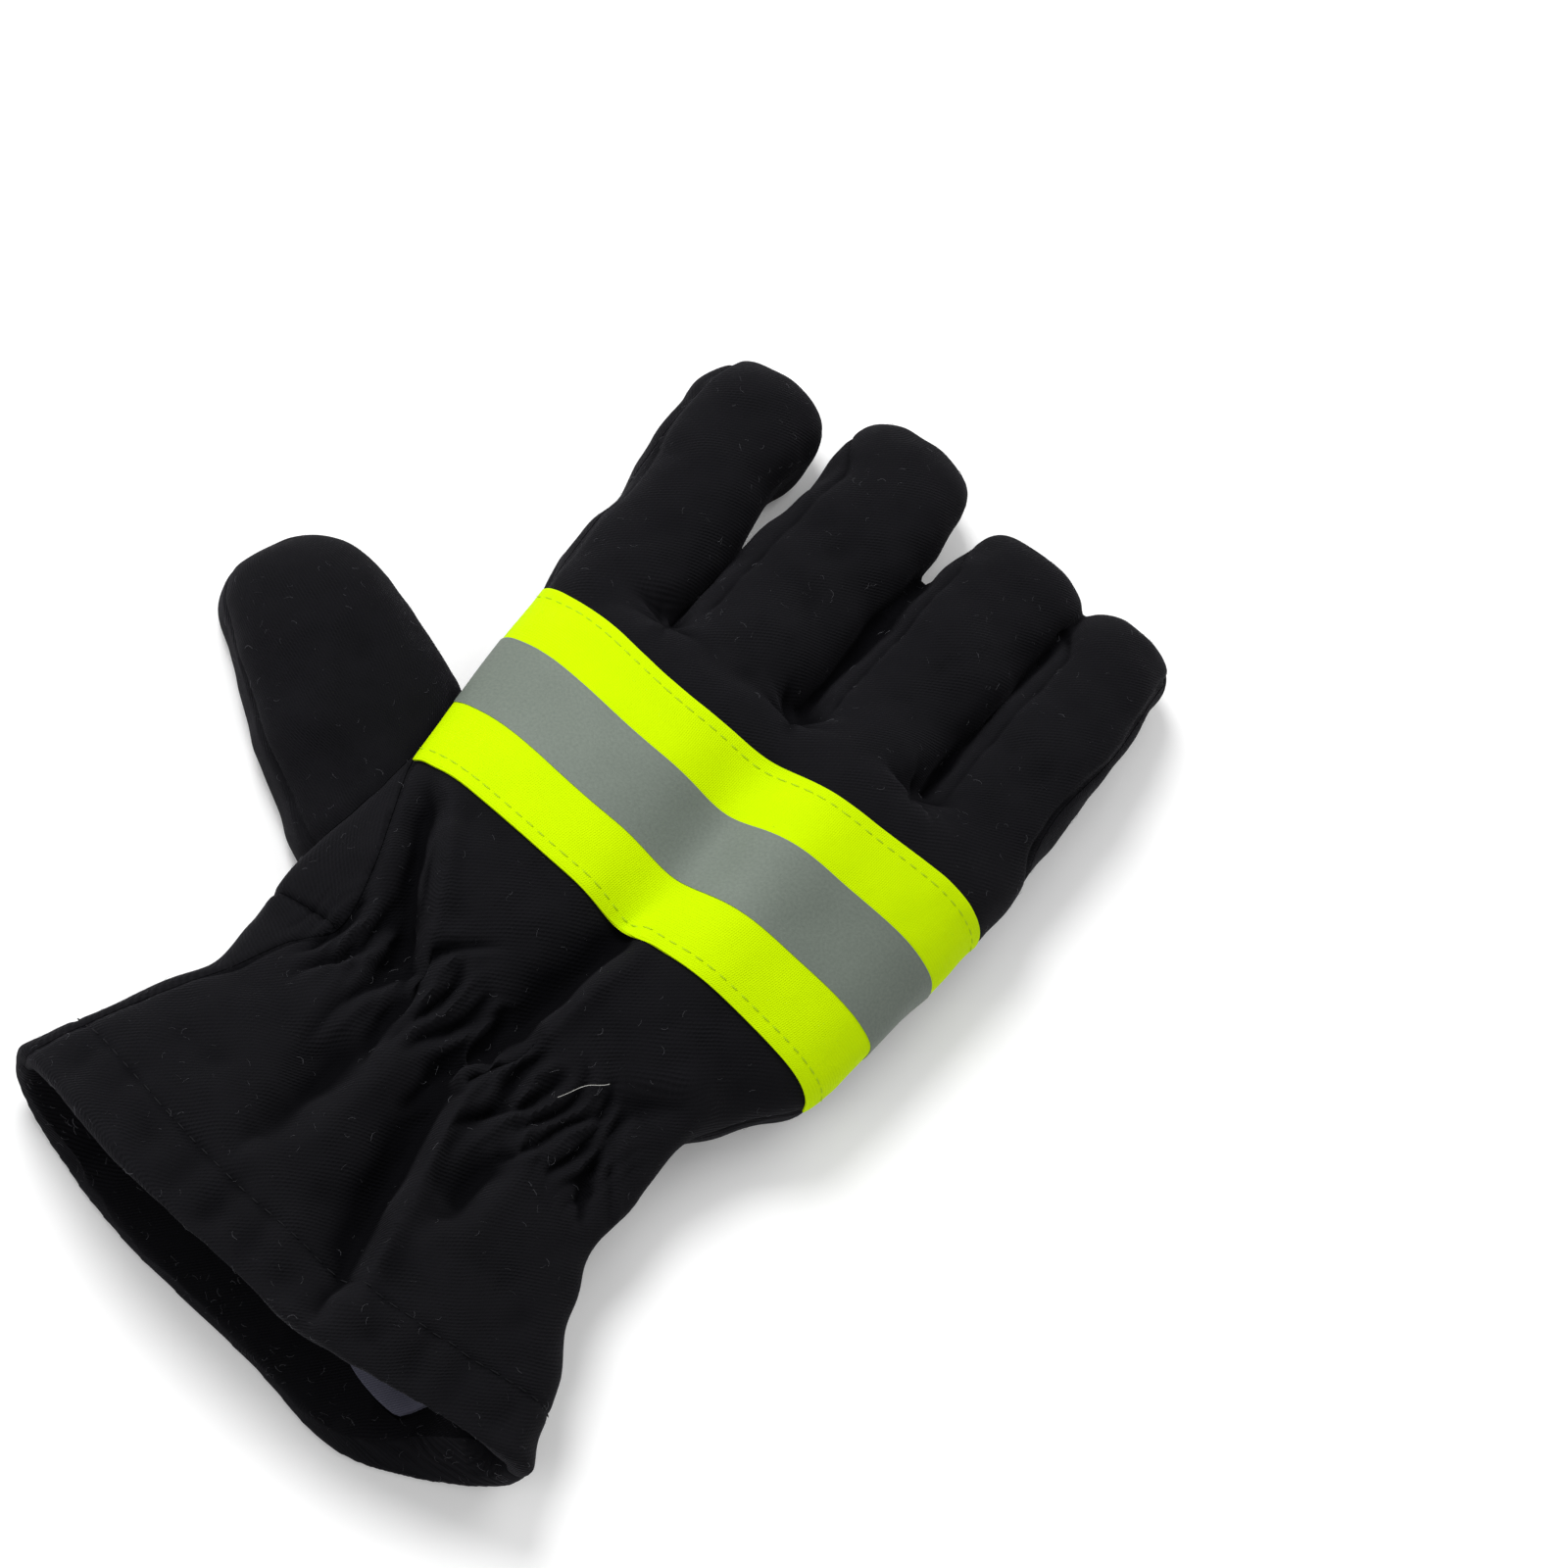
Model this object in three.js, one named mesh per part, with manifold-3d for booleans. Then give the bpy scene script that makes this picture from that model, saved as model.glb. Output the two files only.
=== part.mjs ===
// Firefighter glove, right hand, lying palm down. Millimetres, +Z up, +Y towards the fingertips.
// The hand frame has x = 0 on the glove's axis, y = 0 on the wrist's elastic and z = 0 on the floor.
import * as THREE from 'three';
import Module from 'manifold-3d';

const wasm = await Module();
wasm.setup();

// Driving sizes of the hand and the cuff
const palmLength = 100.3;      // wrist's elastic to the crotches of the fingers
const palmHalf = 56.5;         // half of the palm's width, which the rows below take shares of
const palmHeight = 35;
const cuffLength = 56.5;       // wrist's elastic to the hem's corners
const hemBow = 11.5;           // how far the hem's middle stands out beyond its corners
const hemLobe = 6.5;           // how much further the palm's side of the hem sags out at one place
const hemLobeAt = 0.56;        // that place, as a share of palmHalf, and the sag's width
const hemLobeWidth = 19;
const sideSeamHeight = 13;
const knuckleSlant = 0.11;     // rise of the knuckle line towards the little finger, per mm across

// Driving sizes of the fingers and the thumb
const fingerThickness = 25;
const fingerGap = 0.8;
const fingerReach = { index: 92.4, middle: 100.7, ring: 93.9, little: 89.4 };
const thumbReach = 51.5;
const thumbWidth = 49;
const thumbThickness = 24;
const thumbAngle = 155;        // direction of the thumb in degrees, 90 is along the fingers

// Cloth, tape and clearances
const clothThickness = 2.4;
const facingThickness = 2.0;   // the cloth turned in at the hem lies inside it, stitched to it
const hemDepth = 14;
const liningThickness = 1.4;
const liningStart = 8;         // from the wrist's elastic down to the lining's upper end
const seamGap = 0.3;
const liningGap = 0.6;         // the lining lies this clear of the cloth and of the turned-in hem
const tapeWidth = 50;
const stripeWidth = 19;
const tapeThickness = 0.7;
const stripeThickness = 0.5;
const tapeStart = 39.6;        // wrist's elastic to the near corners of the tape
const tapeBow = 4.2;           // how far the tape's middle hangs back towards the wrist
const tapeSlant = 0.01;        // rise of the tape towards the little finger, per mm across
const tapeEndLeft = 20.5;      // heights of the tape's two ends above the floor
const tapeEndRight = 14;
const flatSink = 3.0;          // the underside is pressed flat by this much where it rests

// Gathers that the elastic makes at the wrist
const gatherPitch = 8.5;
const gatherDepth = 1.25;
const gatherReach = 15;
const gatherPinch = 3.2;

// Across the sleeve: along is a share of cuffLength below the wrist and of palmLength above it
const sleeveRows = [
  { along: -1.0, left: -1.13, right: 1.04, height: 0.84 },
  { along: -0.72, left: -1.04, right: 0.94, height: 0.82 },
  { along: -0.33, left: -0.87, right: 0.77, height: 0.79 },
  { along: -0.10, left: -0.86, right: 0.75, height: 0.79 },
  { along: 0.0, left: -0.88, right: 0.755, height: 0.80 },
  { along: 0.15, left: -0.89, right: 0.785, height: 0.85 },
  { along: 0.28, left: -0.875, right: 0.88, height: 0.90 },
  { along: 0.40, left: -0.86, right: 0.99, height: 0.95 },
  { along: 0.65, left: -0.90, right: 1.05, height: 1.02 },
  { along: 0.88, left: -0.93, right: 1.075, height: 1.02 },
  { along: 0.96, left: -0.945, right: 1.085, height: 0.95 },
  { along: 1.01, left: -0.935, right: 1.065, height: 0.83 },
  { along: 1.035, left: -0.91, right: 1.04, height: 0.68 },
  { along: 1.05, left: -0.87, right: 1.0, height: 0.48 },
];

// Fingers: edges at root and tip as shares of palmHalf, lean of the tip in mm, and how much higher
// the root is than the rest, as a share of fingerThickness
const fingerRoot = 0.89;       // share of palmLength where the finger tubes start
const fingers = [
  { name: 'index', leftRoot: -0.93, leftTip: -1.13, rightRoot: -0.485, rightTip: -0.52, lean: 0, rise: 0.08 },
  { name: 'middle', leftRoot: -0.485, leftTip: -0.52, rightRoot: 0.07, rightTip: 0.08, lean: -2.5, rise: 0.30 },
  { name: 'ring', leftRoot: 0.07, leftTip: 0.08, rightRoot: 0.585, rightTip: 0.635, lean: 2.5, rise: 0.30 },
  { name: 'little', leftRoot: 0.585, leftTip: 0.635, rightRoot: 1.12, rightTip: 1.085, lean: -1.0, rise: 0.10 },
];
const fingerProfile = [
  { along: 0.0, width: 0.90, height: 1.0 },
  { along: 0.10, width: 0.99, height: 1.02 },
  { along: 0.32, width: 1.0, height: 1.04 },
  { along: 0.58, width: 1.0, height: 1.03 },
  { along: 0.76, width: 0.98, height: 0.98 },
  { along: 0.87, width: 0.91, height: 0.92 },
  { along: 0.94, width: 0.77, height: 0.80 },
  { along: 0.98, width: 0.55, height: 0.62 },
  { along: 1.0, width: 0.28, height: 0.42 },
];

// Thumb: its root as shares of palmHalf and palmLength, widths as shares of thumbWidth
const thumbRoot = { x: -0.78, y: 0.37 };
const thumbProfile = [
  { along: 0.0, width: 1.06, height: 0.74 },
  { along: 0.22, width: 1.02, height: 0.80 },
  { along: 0.45, width: 0.88, height: 0.97 },
  { along: 0.68, width: 0.77, height: 1.02 },
  { along: 0.84, width: 0.66, height: 0.94 },
  { along: 0.94, width: 0.50, height: 0.78 },
  { along: 0.985, width: 0.32, height: 0.58 },
  { along: 1.0, width: 0.16, height: 0.42 },
];

// Folds: ends as shares of palmHalf across and of palmLength or cuffLength along, sizes in mm
const folds = [
  { x0: -0.66, y0: 0.33, x1: -0.34, y1: 0.03, width: 5.0, depth: 4.2 },
  { x0: 0.12, y0: 0.88, x1: 0.15, y1: 0.34, width: 10.0, depth: 4.6 },
  { x0: 0.15, y0: 0.34, x1: 0.07, y1: 0.03, width: 5.0, depth: 4.4 },
  { x0: -0.28, y0: -0.18, x1: -0.32, y1: -0.75, width: 6.0, depth: 2.6 },
  { x0: 0.02, y0: -0.20, x1: 0.19, y1: -1.0, width: 6.0, depth: 4.6 },
  { x0: 0.30, y0: -0.28, x1: 0.30, y1: -0.55, width: 6.5, depth: 2.4 },
  { x0: 0.52, y0: -0.04, x1: 0.64, y1: -0.16, width: 4.5, depth: 3.0 },
  { x0: 0.44, y0: 0.08, x1: 0.68, y1: 0.19, width: 4.5, depth: 2.4 },
];

// Where the back panel's seams run: left and right limits as shares of palmHalf
const seamRows = [
  { along: -1.3, left: -1.10, right: 1.4 },
  { along: -1.0, left: -1.06, right: 1.4 },
  { along: -0.66, left: -0.94, right: 1.4 },
  { along: -0.33, left: -0.79, right: 1.4 },
  { along: -0.12, left: -0.70, right: 1.4 },
  { along: 0.02, left: -0.61, right: 1.4 },
  { along: 0.13, left: -0.65, right: 1.4 },
  { along: 0.27, left: -0.745, right: 1.4 },
  { along: 0.395, left: -0.825, right: 1.4 },
  { along: 0.60, left: -0.875, right: 1.4 },
  { along: 0.90, left: -0.925, right: 1.4 },
  { along: 1.15, left: -0.965, right: 1.06 },
  { along: 1.5, left: -1.02, right: 1.06 },
  { along: 1.75, left: -1.02, right: 1.04 },
  { along: 2.2, left: -1.10, right: 1.10 },
];
const crossSeam = 0.015;       // share of palmLength where the palm meets the cuff's underside

// Smooth value of a column between the rows of a table
function column(rows, name, at) {
  let i = 0;
  while (i < rows.length - 2 && at > rows[i + 1].along) i += 1;
  const a = rows[i];
  const b = rows[i + 1];
  const span = b.along - a.along;
  const t = THREE.MathUtils.clamp((at - a.along) / span, 0, 1);
  const before = rows[Math.max(i - 1, 0)];
  const after = rows[Math.min(i + 2, rows.length - 1)];
  const slopeA = (b[name] - before[name]) / (b.along - before.along);
  const slopeB = (after[name] - a[name]) / (after.along - a.along);
  const t2 = t * t;
  const t3 = t2 * t;
  return (2 * t3 - 3 * t2 + 1) * a[name] + (t3 - 2 * t2 + t) * span * slopeA
    + (3 * t2 - 2 * t3) * b[name] + (t3 - t2) * span * slopeB;
}

// A share along the glove to millimetres from the wrist
function alongToY(along) {
  return along < 0 ? along * cuffLength : along * palmLength;
}

// The elastic's line across the back of the wrist
function gatherLine(x) {
  return 2.6 * Math.cos((x + palmHalf * 0.5) / palmHalf * 1.6) - 0.8;
}

// Depth of the cloth's relief at a point of the back: gathers when fine is 1, and the main folds
function relief(x, y, fine) {
  const offset = y - gatherLine(x);
  const near = Math.exp(-((offset / gatherReach) ** 2));
  const wave = Math.cos((x + 0.12 * offset) / gatherPitch * 2 * Math.PI);
  let depth = gatherPinch * near - fine * gatherDepth * near * wave;
  for (const fold of folds) {
    const start = new THREE.Vector2(fold.x0 * palmHalf, alongToY(fold.y0));
    const end = new THREE.Vector2(fold.x1 * palmHalf, alongToY(fold.y1));
    const way = end.clone().sub(start);
    const point = new THREE.Vector2(x, y).sub(start);
    const share = THREE.MathUtils.clamp(point.dot(way) / way.lengthSq(), 0, 1);
    const distance = point.sub(way.multiplyScalar(share)).length() / fold.width;
    const fade = Math.sin(Math.PI * (0.12 + 0.76 * share));
    depth += fold.depth * fade * Math.exp(-(distance ** 2));
  }
  return depth;
}

// One ring of a soft tube: an arch over a flatter underside, pressed flat on the floor
function softRing(half, top, seam, inset, sides) {
  return Array.from({ length: sides.over + sides.under }, (_, i) => {
    const upper = i < sides.over;
    const turn = upper ? i / sides.over : (i - sides.over) / sides.under;
    const spread = 0.45 * Math.cos(Math.PI * turn) + 0.55 * (1 - 2 * turn);
    const power = upper ? 2.35 : 3.0;
    const rise = Math.max(1 - Math.abs(spread) ** power, 0) ** (1 / power);
    const across = (half - inset) * (upper ? spread : -spread);
    const low = Math.max(seam - (seam + flatSink - inset) * rise, inset);
    const high = seam + (top - inset - seam) * rise;
    return { across, height: upper ? high : low, crown: upper ? rise : 0, keel: upper ? 0 : rise };
  });
}

// A closed mesh through rings of points that all have the same count
function loft(rings) {
  const around = rings[0].length;
  const positions = rings.flat().flatMap((p) => [p.x, p.y, p.z]);
  const index = [];
  for (let r = 0; r < rings.length - 1; r += 1) {
    for (let i = 0; i < around; i += 1) {
      const j = (i + 1) % around;
      const a = r * around + i;
      const b = r * around + j;
      index.push(a, b + around, b, a, a + around, b + around);
    }
  }
  for (const r of [0, rings.length - 1]) {
    const middle = new THREE.Vector3();
    rings[r].forEach((p) => middle.addScaledVector(p, 1 / around));
    const centre = positions.length / 3;
    positions.push(middle.x, middle.y, middle.z);
    for (let i = 0; i < around; i += 1) {
      const a = r * around + i;
      const b = r * around + (i + 1) % around;
      index.push(...(r === 0 ? [centre, a, b] : [centre, b, a]));
    }
  }
  let volume = 0;
  const corner = (k) => new THREE.Vector3().fromArray(positions, 3 * k);
  for (let k = 0; k < index.length; k += 3) {
    volume += corner(index[k]).dot(corner(index[k + 1]).cross(corner(index[k + 2])));
  }
  const geometry = new THREE.BufferGeometry();
  geometry.setAttribute('position', new THREE.Float32BufferAttribute(positions, 3));
  geometry.setIndex(volume < 0 ? index.reverse() : index);
  return geometry;
}

// Moves a closed mesh's surface outwards by a distance
function grown(geometry, distance) {
  const copy = geometry.clone();
  copy.computeVertexNormals();
  const position = copy.getAttribute('position');
  const normal = copy.getAttribute('normal');
  for (let i = 0; i < position.count; i += 1) {
    position.setXYZ(
      i,
      position.getX(i) + normal.getX(i) * distance,
      position.getY(i) + normal.getY(i) * distance,
      position.getZ(i) + normal.getZ(i) * distance,
    );
  }
  return copy;
}

// A three.js mesh as a manifold solid, and back
function solidOf(geometry) {
  return new wasm.Manifold(new wasm.Mesh({
    numProp: 3,
    vertProperties: Float32Array.from(geometry.getAttribute('position').array),
    triVerts: Uint32Array.from(geometry.index.array),
  }));
}

// The largest body of a solid, without the slivers that a cut leaves
function mainBody(solid) {
  return solid.decompose().reduce((best, body) => (body.volume() > best.volume() ? body : best));
}

function geometryOf(solid) {
  const mesh = solid.getMesh();
  const geometry = new THREE.BufferGeometry();
  geometry.setAttribute('position', new THREE.Float32BufferAttribute(mesh.vertProperties, 3));
  geometry.setIndex([...mesh.triVerts]);
  geometry.computeVertexNormals();
  return geometry;
}

// Cuff and hand as one soft tube, from the hem to the knuckles
function sleeve({ inset, sides, fine, stops }) {
  const rings = stops.map((stop) => {
    const along = THREE.MathUtils.clamp(stop, sleeveRows[0].along, sleeveRows.at(-1).along);
    const left = column(sleeveRows, 'left', along) * palmHalf;
    const right = column(sleeveRows, 'right', along) * palmHalf;
    const top = column(sleeveRows, 'height', along) * palmHeight;
    const seam = Math.min(sideSeamHeight, top * 0.45);
    const middle = (left + right) / 2;
    const half = (right - left) / 2;
    const slant = knuckleSlant * THREE.MathUtils.smoothstep(along, 0.4, 1);
    const bow = hemBow * THREE.MathUtils.smoothstep(-along, 0.2, 1);
    return softRing(half, top, seam, inset, sides).map((p) => {
      const x = middle + p.across;
      const edge = 1 - (p.across / half) ** 2;
      const lobe = Math.exp(-(((x - hemLobeAt * palmHalf) / hemLobeWidth) ** 2)) * p.keel;
      const y = alongToY(stop) + slant * x - bow * edge - hemLobe * bow / hemBow * lobe;
      const sink = relief(x, y, fine) * THREE.MathUtils.smoothstep(p.crown, 0.15, 0.75);
      return new THREE.Vector3(x, y, p.height - sink);
    });
  });
  return loft(rings);
}

// Even stops between two shares
function stopsBetween(from, to, count) {
  return Array.from({ length: count }, (_, i) => from + (to - from) * i / (count - 1));
}

// A finger's centre line, its half width and thickness at a share of its length
function fingerAt(finger, share) {
  const left = THREE.MathUtils.lerp(finger.leftRoot, finger.leftTip, share) * palmHalf;
  const right = THREE.MathUtils.lerp(finger.rightRoot, finger.rightTip, share) * palmHalf;
  const knuckle = (finger.leftRoot + finger.rightRoot) / 2 * palmHalf;
  return {
    x: (left + right) / 2 + finger.lean * THREE.MathUtils.smoothstep(share, 0.6, 1),
    y: fingerRoot * palmLength + knuckleSlant * knuckle + share * fingerReach[finger.name],
    half: (right - left) / 2 * column(fingerProfile, 'width', share) - fingerGap / 2,
    top: fingerThickness * (column(fingerProfile, 'height', share)
      + finger.rise * (1 - THREE.MathUtils.smoothstep(share, 0.03, 0.4))),
  };
}

function fingerTube(finger, inset, sides, stops) {
  const rings = stops.map((share) => {
    const at = fingerAt(finger, share);
    const seam = at.top * 0.48;
    const end = share === 1 ? -inset : 0;
    return softRing(at.half, at.top, seam, inset, sides)
      .map((p) => new THREE.Vector3(at.x + p.across, at.y + end, p.height));
  });
  return loft(rings);
}

function thumbTube(inset, sides, stops) {
  const angle = THREE.MathUtils.degToRad(thumbAngle);
  const way = new THREE.Vector3(Math.cos(angle), Math.sin(angle), 0);
  const side = new THREE.Vector3(Math.sin(angle), -Math.cos(angle), 0);
  const root = new THREE.Vector3(thumbRoot.x * palmHalf, thumbRoot.y * palmLength, 0);
  const rings = stops.map((share) => {
    const half = thumbWidth * column(thumbProfile, 'width', share) / 2;
    const top = thumbThickness * column(thumbProfile, 'height', share);
    const reach = share * (thumbReach + thumbWidth * 0.25) - thumbWidth * 0.06;
    const end = share === 1 ? inset : 0;
    return softRing(half, top, top * 0.48, inset, sides).map((p) => (
      root.clone().addScaledVector(way, reach - end).addScaledVector(side, p.across)
        .setZ(p.height)
    ));
  });
  return loft(rings);
}

// A body through rectangles, each given by its y and its limits across and up
function boxLoft(rows) {
  return loft(rows.map((row) => [
    new THREE.Vector3(row.x1, row.y, row.z0),
    new THREE.Vector3(row.x1, row.y, row.z1),
    new THREE.Vector3(row.x0, row.y, row.z1),
    new THREE.Vector3(row.x0, row.y, row.z0),
  ]));
}

// A body that crosses the glove, with its near side, far side and underside given at each x
function crossBody(sides) {
  return solidOf(loft(stopsBetween(-1.3, 1.3, 13).map((t) => {
    const x = t * palmHalf;
    const [near, far, low] = sides(x, t);
    return [[near, low], [far, low], [far, palmHeight * 2], [near, palmHeight * 2]]
      .map(([y, z]) => new THREE.Vector3(x, y, z));
  })));
}

// All that lies within a distance of the hem's edge
function hemZone(depth) {
  const hem = sleeveRows[0];
  const middle = (hem.left + hem.right) / 2;
  const half = (hem.right - hem.left) / 2;
  return crossBody((x, t) => {
    const bow = hemBow * (1 - Math.min(Math.abs(t - middle) / half, 1) ** 2);
    return [-2 * cuffLength, depth - cuffLength - bow, -palmHeight];
  });
}

// Outer form and the hollow in it
const cuffStops = [...stopsBetween(-1, -0.42, 3), ...stopsBetween(-0.26, 0.16, 8)];
const handStops = [...stopsBetween(0.27, 0.92, 6), 0.97, 1.01, 1.035, 1.05];
const sleeveStops = [...cuffStops, ...handStops];
const sleeveSides = { over: 35, under: 9 };
const sleeveOuter = sleeve({ inset: 0, sides: sleeveSides, fine: 1, stops: sleeveStops });
const mouthRun = 0.10;         // share past the hem that the hollow runs
const hollowStops = [...stopsBetween(-1 - mouthRun, 0, 7), ...stopsBetween(0.14, 0.92, 5), 1.02];
const hollowSides = { over: 24, under: 7 };
const sleeveHollow = sleeve({ inset: clothThickness, sides: hollowSides, fine: 0, stops: hollowStops });
const tubeSides = { over: 10, under: 6 };
const tubeHollowSides = { over: 6, under: 4 };
const fingerStops = [0, 0.16, 0.42, 0.7, 0.86, 0.95, 1];
const tubeStops = [0, 0.4, 0.78, 0.93];
const thumbStops = [0, 0.22, 0.5, 0.74, 0.88, 0.96, 1];
const fingerOuters = fingers.map((f) => solidOf(fingerTube(f, 0, tubeSides, fingerStops)));
const fingerHollows = fingers.map((f) => solidOf(fingerTube(f, clothThickness, tubeHollowSides, tubeStops)));
const thumbOuter = solidOf(thumbTube(0, tubeSides, thumbStops));
const thumbHollow = solidOf(thumbTube(clothThickness, tubeHollowSides, tubeStops));

const handOuter = fingerOuters.reduce((sum, f) => sum.add(f), solidOf(sleeveOuter));
const cuffHollow = solidOf(sleeveHollow);
const facing = cuffHollow.subtract(solidOf(grown(sleeveHollow, -facingThickness))).intersect(hemZone(hemDepth));
const handHollow = fingerHollows.reduce((sum, f) => sum.add(f), cuffHollow.subtract(facing));
const handShell = handOuter.subtract(handHollow).subtract(thumbHollow);

// The back panel's share of the shell, grown by a distance on every side
function backBody(distance) {
  const reachUp = palmHeight * 2;
  return solidOf(boxLoft(seamRows.map((row) => ({
    y: alongToY(row.along),
    x0: row.left * palmHalf - distance,
    x1: row.right * palmHalf + distance,
    z0: sideSeamHeight - distance,
    z1: reachUp,
  }))));
}

// The line half way between two fingers, and the strip of cloth on one side of it
const fourchetteTop = 0.84;    // shares of the finger's thickness where the strip's seams run
const fourchetteLow = 0.30;
const stripOverlap = 0.05;     // the strip's two sides run over each other by this much
const stripStops = [0, 0.12, 0.3, 0.6, 0.8, 0.93];
function gapLine(left, right, y) {
  const share = (y - fingerAt(left, 0).y) / fingerReach[left.name];
  return THREE.MathUtils.lerp(left.rightRoot, left.rightTip, share) * palmHalf;
}

function stripSide(left, right, onRight, distance) {
  const finger = onRight ? right : left;
  const crotch = palmLength - 1 + knuckleSlant * left.rightRoot * palmHalf;
  const start = (crotch - fingerAt(finger, 0).y) / fingerReach[finger.name];
  const rows = stripStops.map((share, i) => {
    const at = fingerAt(finger, THREE.MathUtils.lerp(start, 1, share));
    const gap = gapLine(left, right, at.y);
    const open = THREE.MathUtils.clamp(i / 2, 0.12, 0.92);
    const reach = THREE.MathUtils.lerp(gap, at.x, open);
    const edge = stripOverlap + distance;
    const close = THREE.MathUtils.smoothstep(share, 0.6, 0.93);
    const rise = THREE.MathUtils.lerp(1.02, fourchetteTop, open);
    const middle = at.top * 0.52;
    return {
      y: at.y,
      x0: Math.min(gap, reach) - edge,
      x1: Math.max(gap, reach) + edge,
      z0: THREE.MathUtils.lerp(at.top * fourchetteLow, middle - 1, close) - distance,
      z1: THREE.MathUtils.lerp(at.top * rise, middle + 1, close) + distance,
    };
  });
  rows[0].y -= distance;
  rows.at(-1).y += distance;
  return solidOf(boxLoft(rows));
}

function stripBody(left, right, distance) {
  return stripSide(left, right, false, distance).add(stripSide(left, right, true, distance));
}

const gaps = fingers.slice(1).map((right, i) => (
  { name: `fourchette_${fingers[i].name}_${right.name}`, left: fingers[i], right }
));
const stripCut = gaps.map((g) => stripBody(g.left, g.right, seamGap))
  .reduce((sum, body) => sum.add(body));

// Below the wrist the cuff's underside is a piece of its own
function belowWrist(distance) {
  const far = palmHalf * 3;
  const limit = crossSeam * palmLength + distance;
  return solidOf(boxLoft([
    { y: -far, x0: -far, x1: far, z0: -far, z1: far },
    { y: limit, x0: -far, x1: far, z0: -far, z1: far },
  ]));
}

const backPanel = handShell.intersect(backBody(0)).subtract(stripCut);
const underside = handShell.subtract(backBody(seamGap)).subtract(stripCut);
const cuffPalm = underside.intersect(belowWrist(0));
const palmPanel = underside.subtract(belowWrist(seamGap));

// Thumb, butted on the hand's side and split along its edge
const handGrown = fingerOuters.reduce((sum, f) => sum.add(f), solidOf(grown(sleeveOuter, seamGap)));
const thumbShell = thumbOuter.subtract(thumbHollow).subtract(handGrown);
function aboveThumbSeam(distance) {
  const far = palmHalf * 4;
  const seam = thumbThickness * 0.5 + distance;
  return solidOf(boxLoft([
    { y: -far, x0: -far, x1: far, z0: seam, z1: far },
    { y: far, x0: -far, x1: far, z0: seam, z1: far },
  ]));
}

const thumbBack = thumbShell.intersect(aboveThumbSeam(seamGap));
const thumbFront = thumbShell.subtract(aboveThumbSeam(0));

// Lining, where it shows behind the turned-in hem
const liningZone = solidOf(boxLoft([-palmHalf * 3, -liningStart].map((y) => (
  { y, x0: -palmHalf * 3, x1: palmHalf * 3, z0: -palmHeight, z1: palmHeight * 3 }
))));
const lining = solidOf(grown(sleeveHollow, -liningGap))
  .subtract(solidOf(grown(sleeveHollow, -liningGap - liningThickness)))
  .intersect(liningZone)
  .subtract(hemZone(hemDepth + liningGap));

// Tape over the back of the hand, and the stripe on it, both bent to the cloth under them
function layer(gap, thickness) {
  return solidOf(grown(sleeveOuter, gap + thickness))
    .subtract(solidOf(grown(sleeveOuter, gap)))
    .subtract(handOuter);
}

function bandBody(width) {
  return crossBody((x, t) => {
    const centre = tapeStart + tapeWidth / 2 - tapeBow * (1 - t * t) + tapeSlant * x;
    const low = THREE.MathUtils.lerp(tapeEndLeft, tapeEndRight, (t + 1) / 2);
    return [centre - width / 2, centre + width / 2, low];
  });
}

const tape = layer(seamGap, tapeThickness).intersect(bandBody(tapeWidth));
const stripe = layer(2 * seamGap + tapeThickness, stripeThickness).intersect(bandBody(stripeWidth));

// Finishes
function finish(color, roughness, metalness = 0) {
  return new THREE.MeshStandardMaterial({ color, roughness, metalness });
}
const blackTwill = finish(0x17161b, 0.95);
const liningCloth = finish(0x8d8ca0, 0.9);
const yellowTape = finish(0xc8ff00, 0.6);
const silverFilm = finish(0x8f9c97, 0.45, 0.1);

// The glove as a scene of named pieces, standing with its lowest point on z = 0
const glove = new THREE.Group();
const pieces = [
  ['back_panel', backPanel, blackTwill],
  ['palm_panel', palmPanel, blackTwill],
  ['cuff_palm', cuffPalm, blackTwill],
  ['thumb_back', thumbBack, blackTwill],
  ['thumb_front', thumbFront, blackTwill],
  ...gaps.map((g) => [g.name, handShell.intersect(stripBody(g.left, g.right, 0)), blackTwill]),
  ['cuff_lining', lining, liningCloth],
  ['reflective_tape', tape, yellowTape],
  ['silver_stripe', stripe, silverFilm],
];
for (const [name, solid, material] of pieces) {
  const mesh = new THREE.Mesh(geometryOf(mainBody(solid)), material);
  mesh.name = name;
  glove.add(mesh);
}

const box = new THREE.Box3().setFromObject(glove);
const centre = box.getCenter(new THREE.Vector3());
glove.position.set(-centre.x, -centre.y, -box.min.z);

export default glove;
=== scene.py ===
import math
import time

import bmesh
import bpy
import numpy as np
from mathutils import Matrix, Vector
from mathutils.bvhtree import BVHTree
from mathutils.kdtree import KDTree


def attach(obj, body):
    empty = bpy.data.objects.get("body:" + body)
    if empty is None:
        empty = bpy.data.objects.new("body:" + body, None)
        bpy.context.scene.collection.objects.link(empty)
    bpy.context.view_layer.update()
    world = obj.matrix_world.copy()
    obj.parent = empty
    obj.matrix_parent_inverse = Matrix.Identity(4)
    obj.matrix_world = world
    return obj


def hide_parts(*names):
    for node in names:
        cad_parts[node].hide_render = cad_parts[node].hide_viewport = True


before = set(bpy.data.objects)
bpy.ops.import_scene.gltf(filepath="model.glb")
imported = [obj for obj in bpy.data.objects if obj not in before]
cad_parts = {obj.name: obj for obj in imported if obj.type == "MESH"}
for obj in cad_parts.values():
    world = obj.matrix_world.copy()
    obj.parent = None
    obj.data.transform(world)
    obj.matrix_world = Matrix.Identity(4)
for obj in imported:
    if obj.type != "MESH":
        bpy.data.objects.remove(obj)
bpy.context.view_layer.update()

startTime = time.time()
mm = 0.001
handOrigin = np.array([19.18, -58.78, 0.0])   # where the wrist's middle lies in the part's frame


def report(words):
    print(f"[glove] {words} ({time.time() - startTime:.0f} s)")


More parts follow.
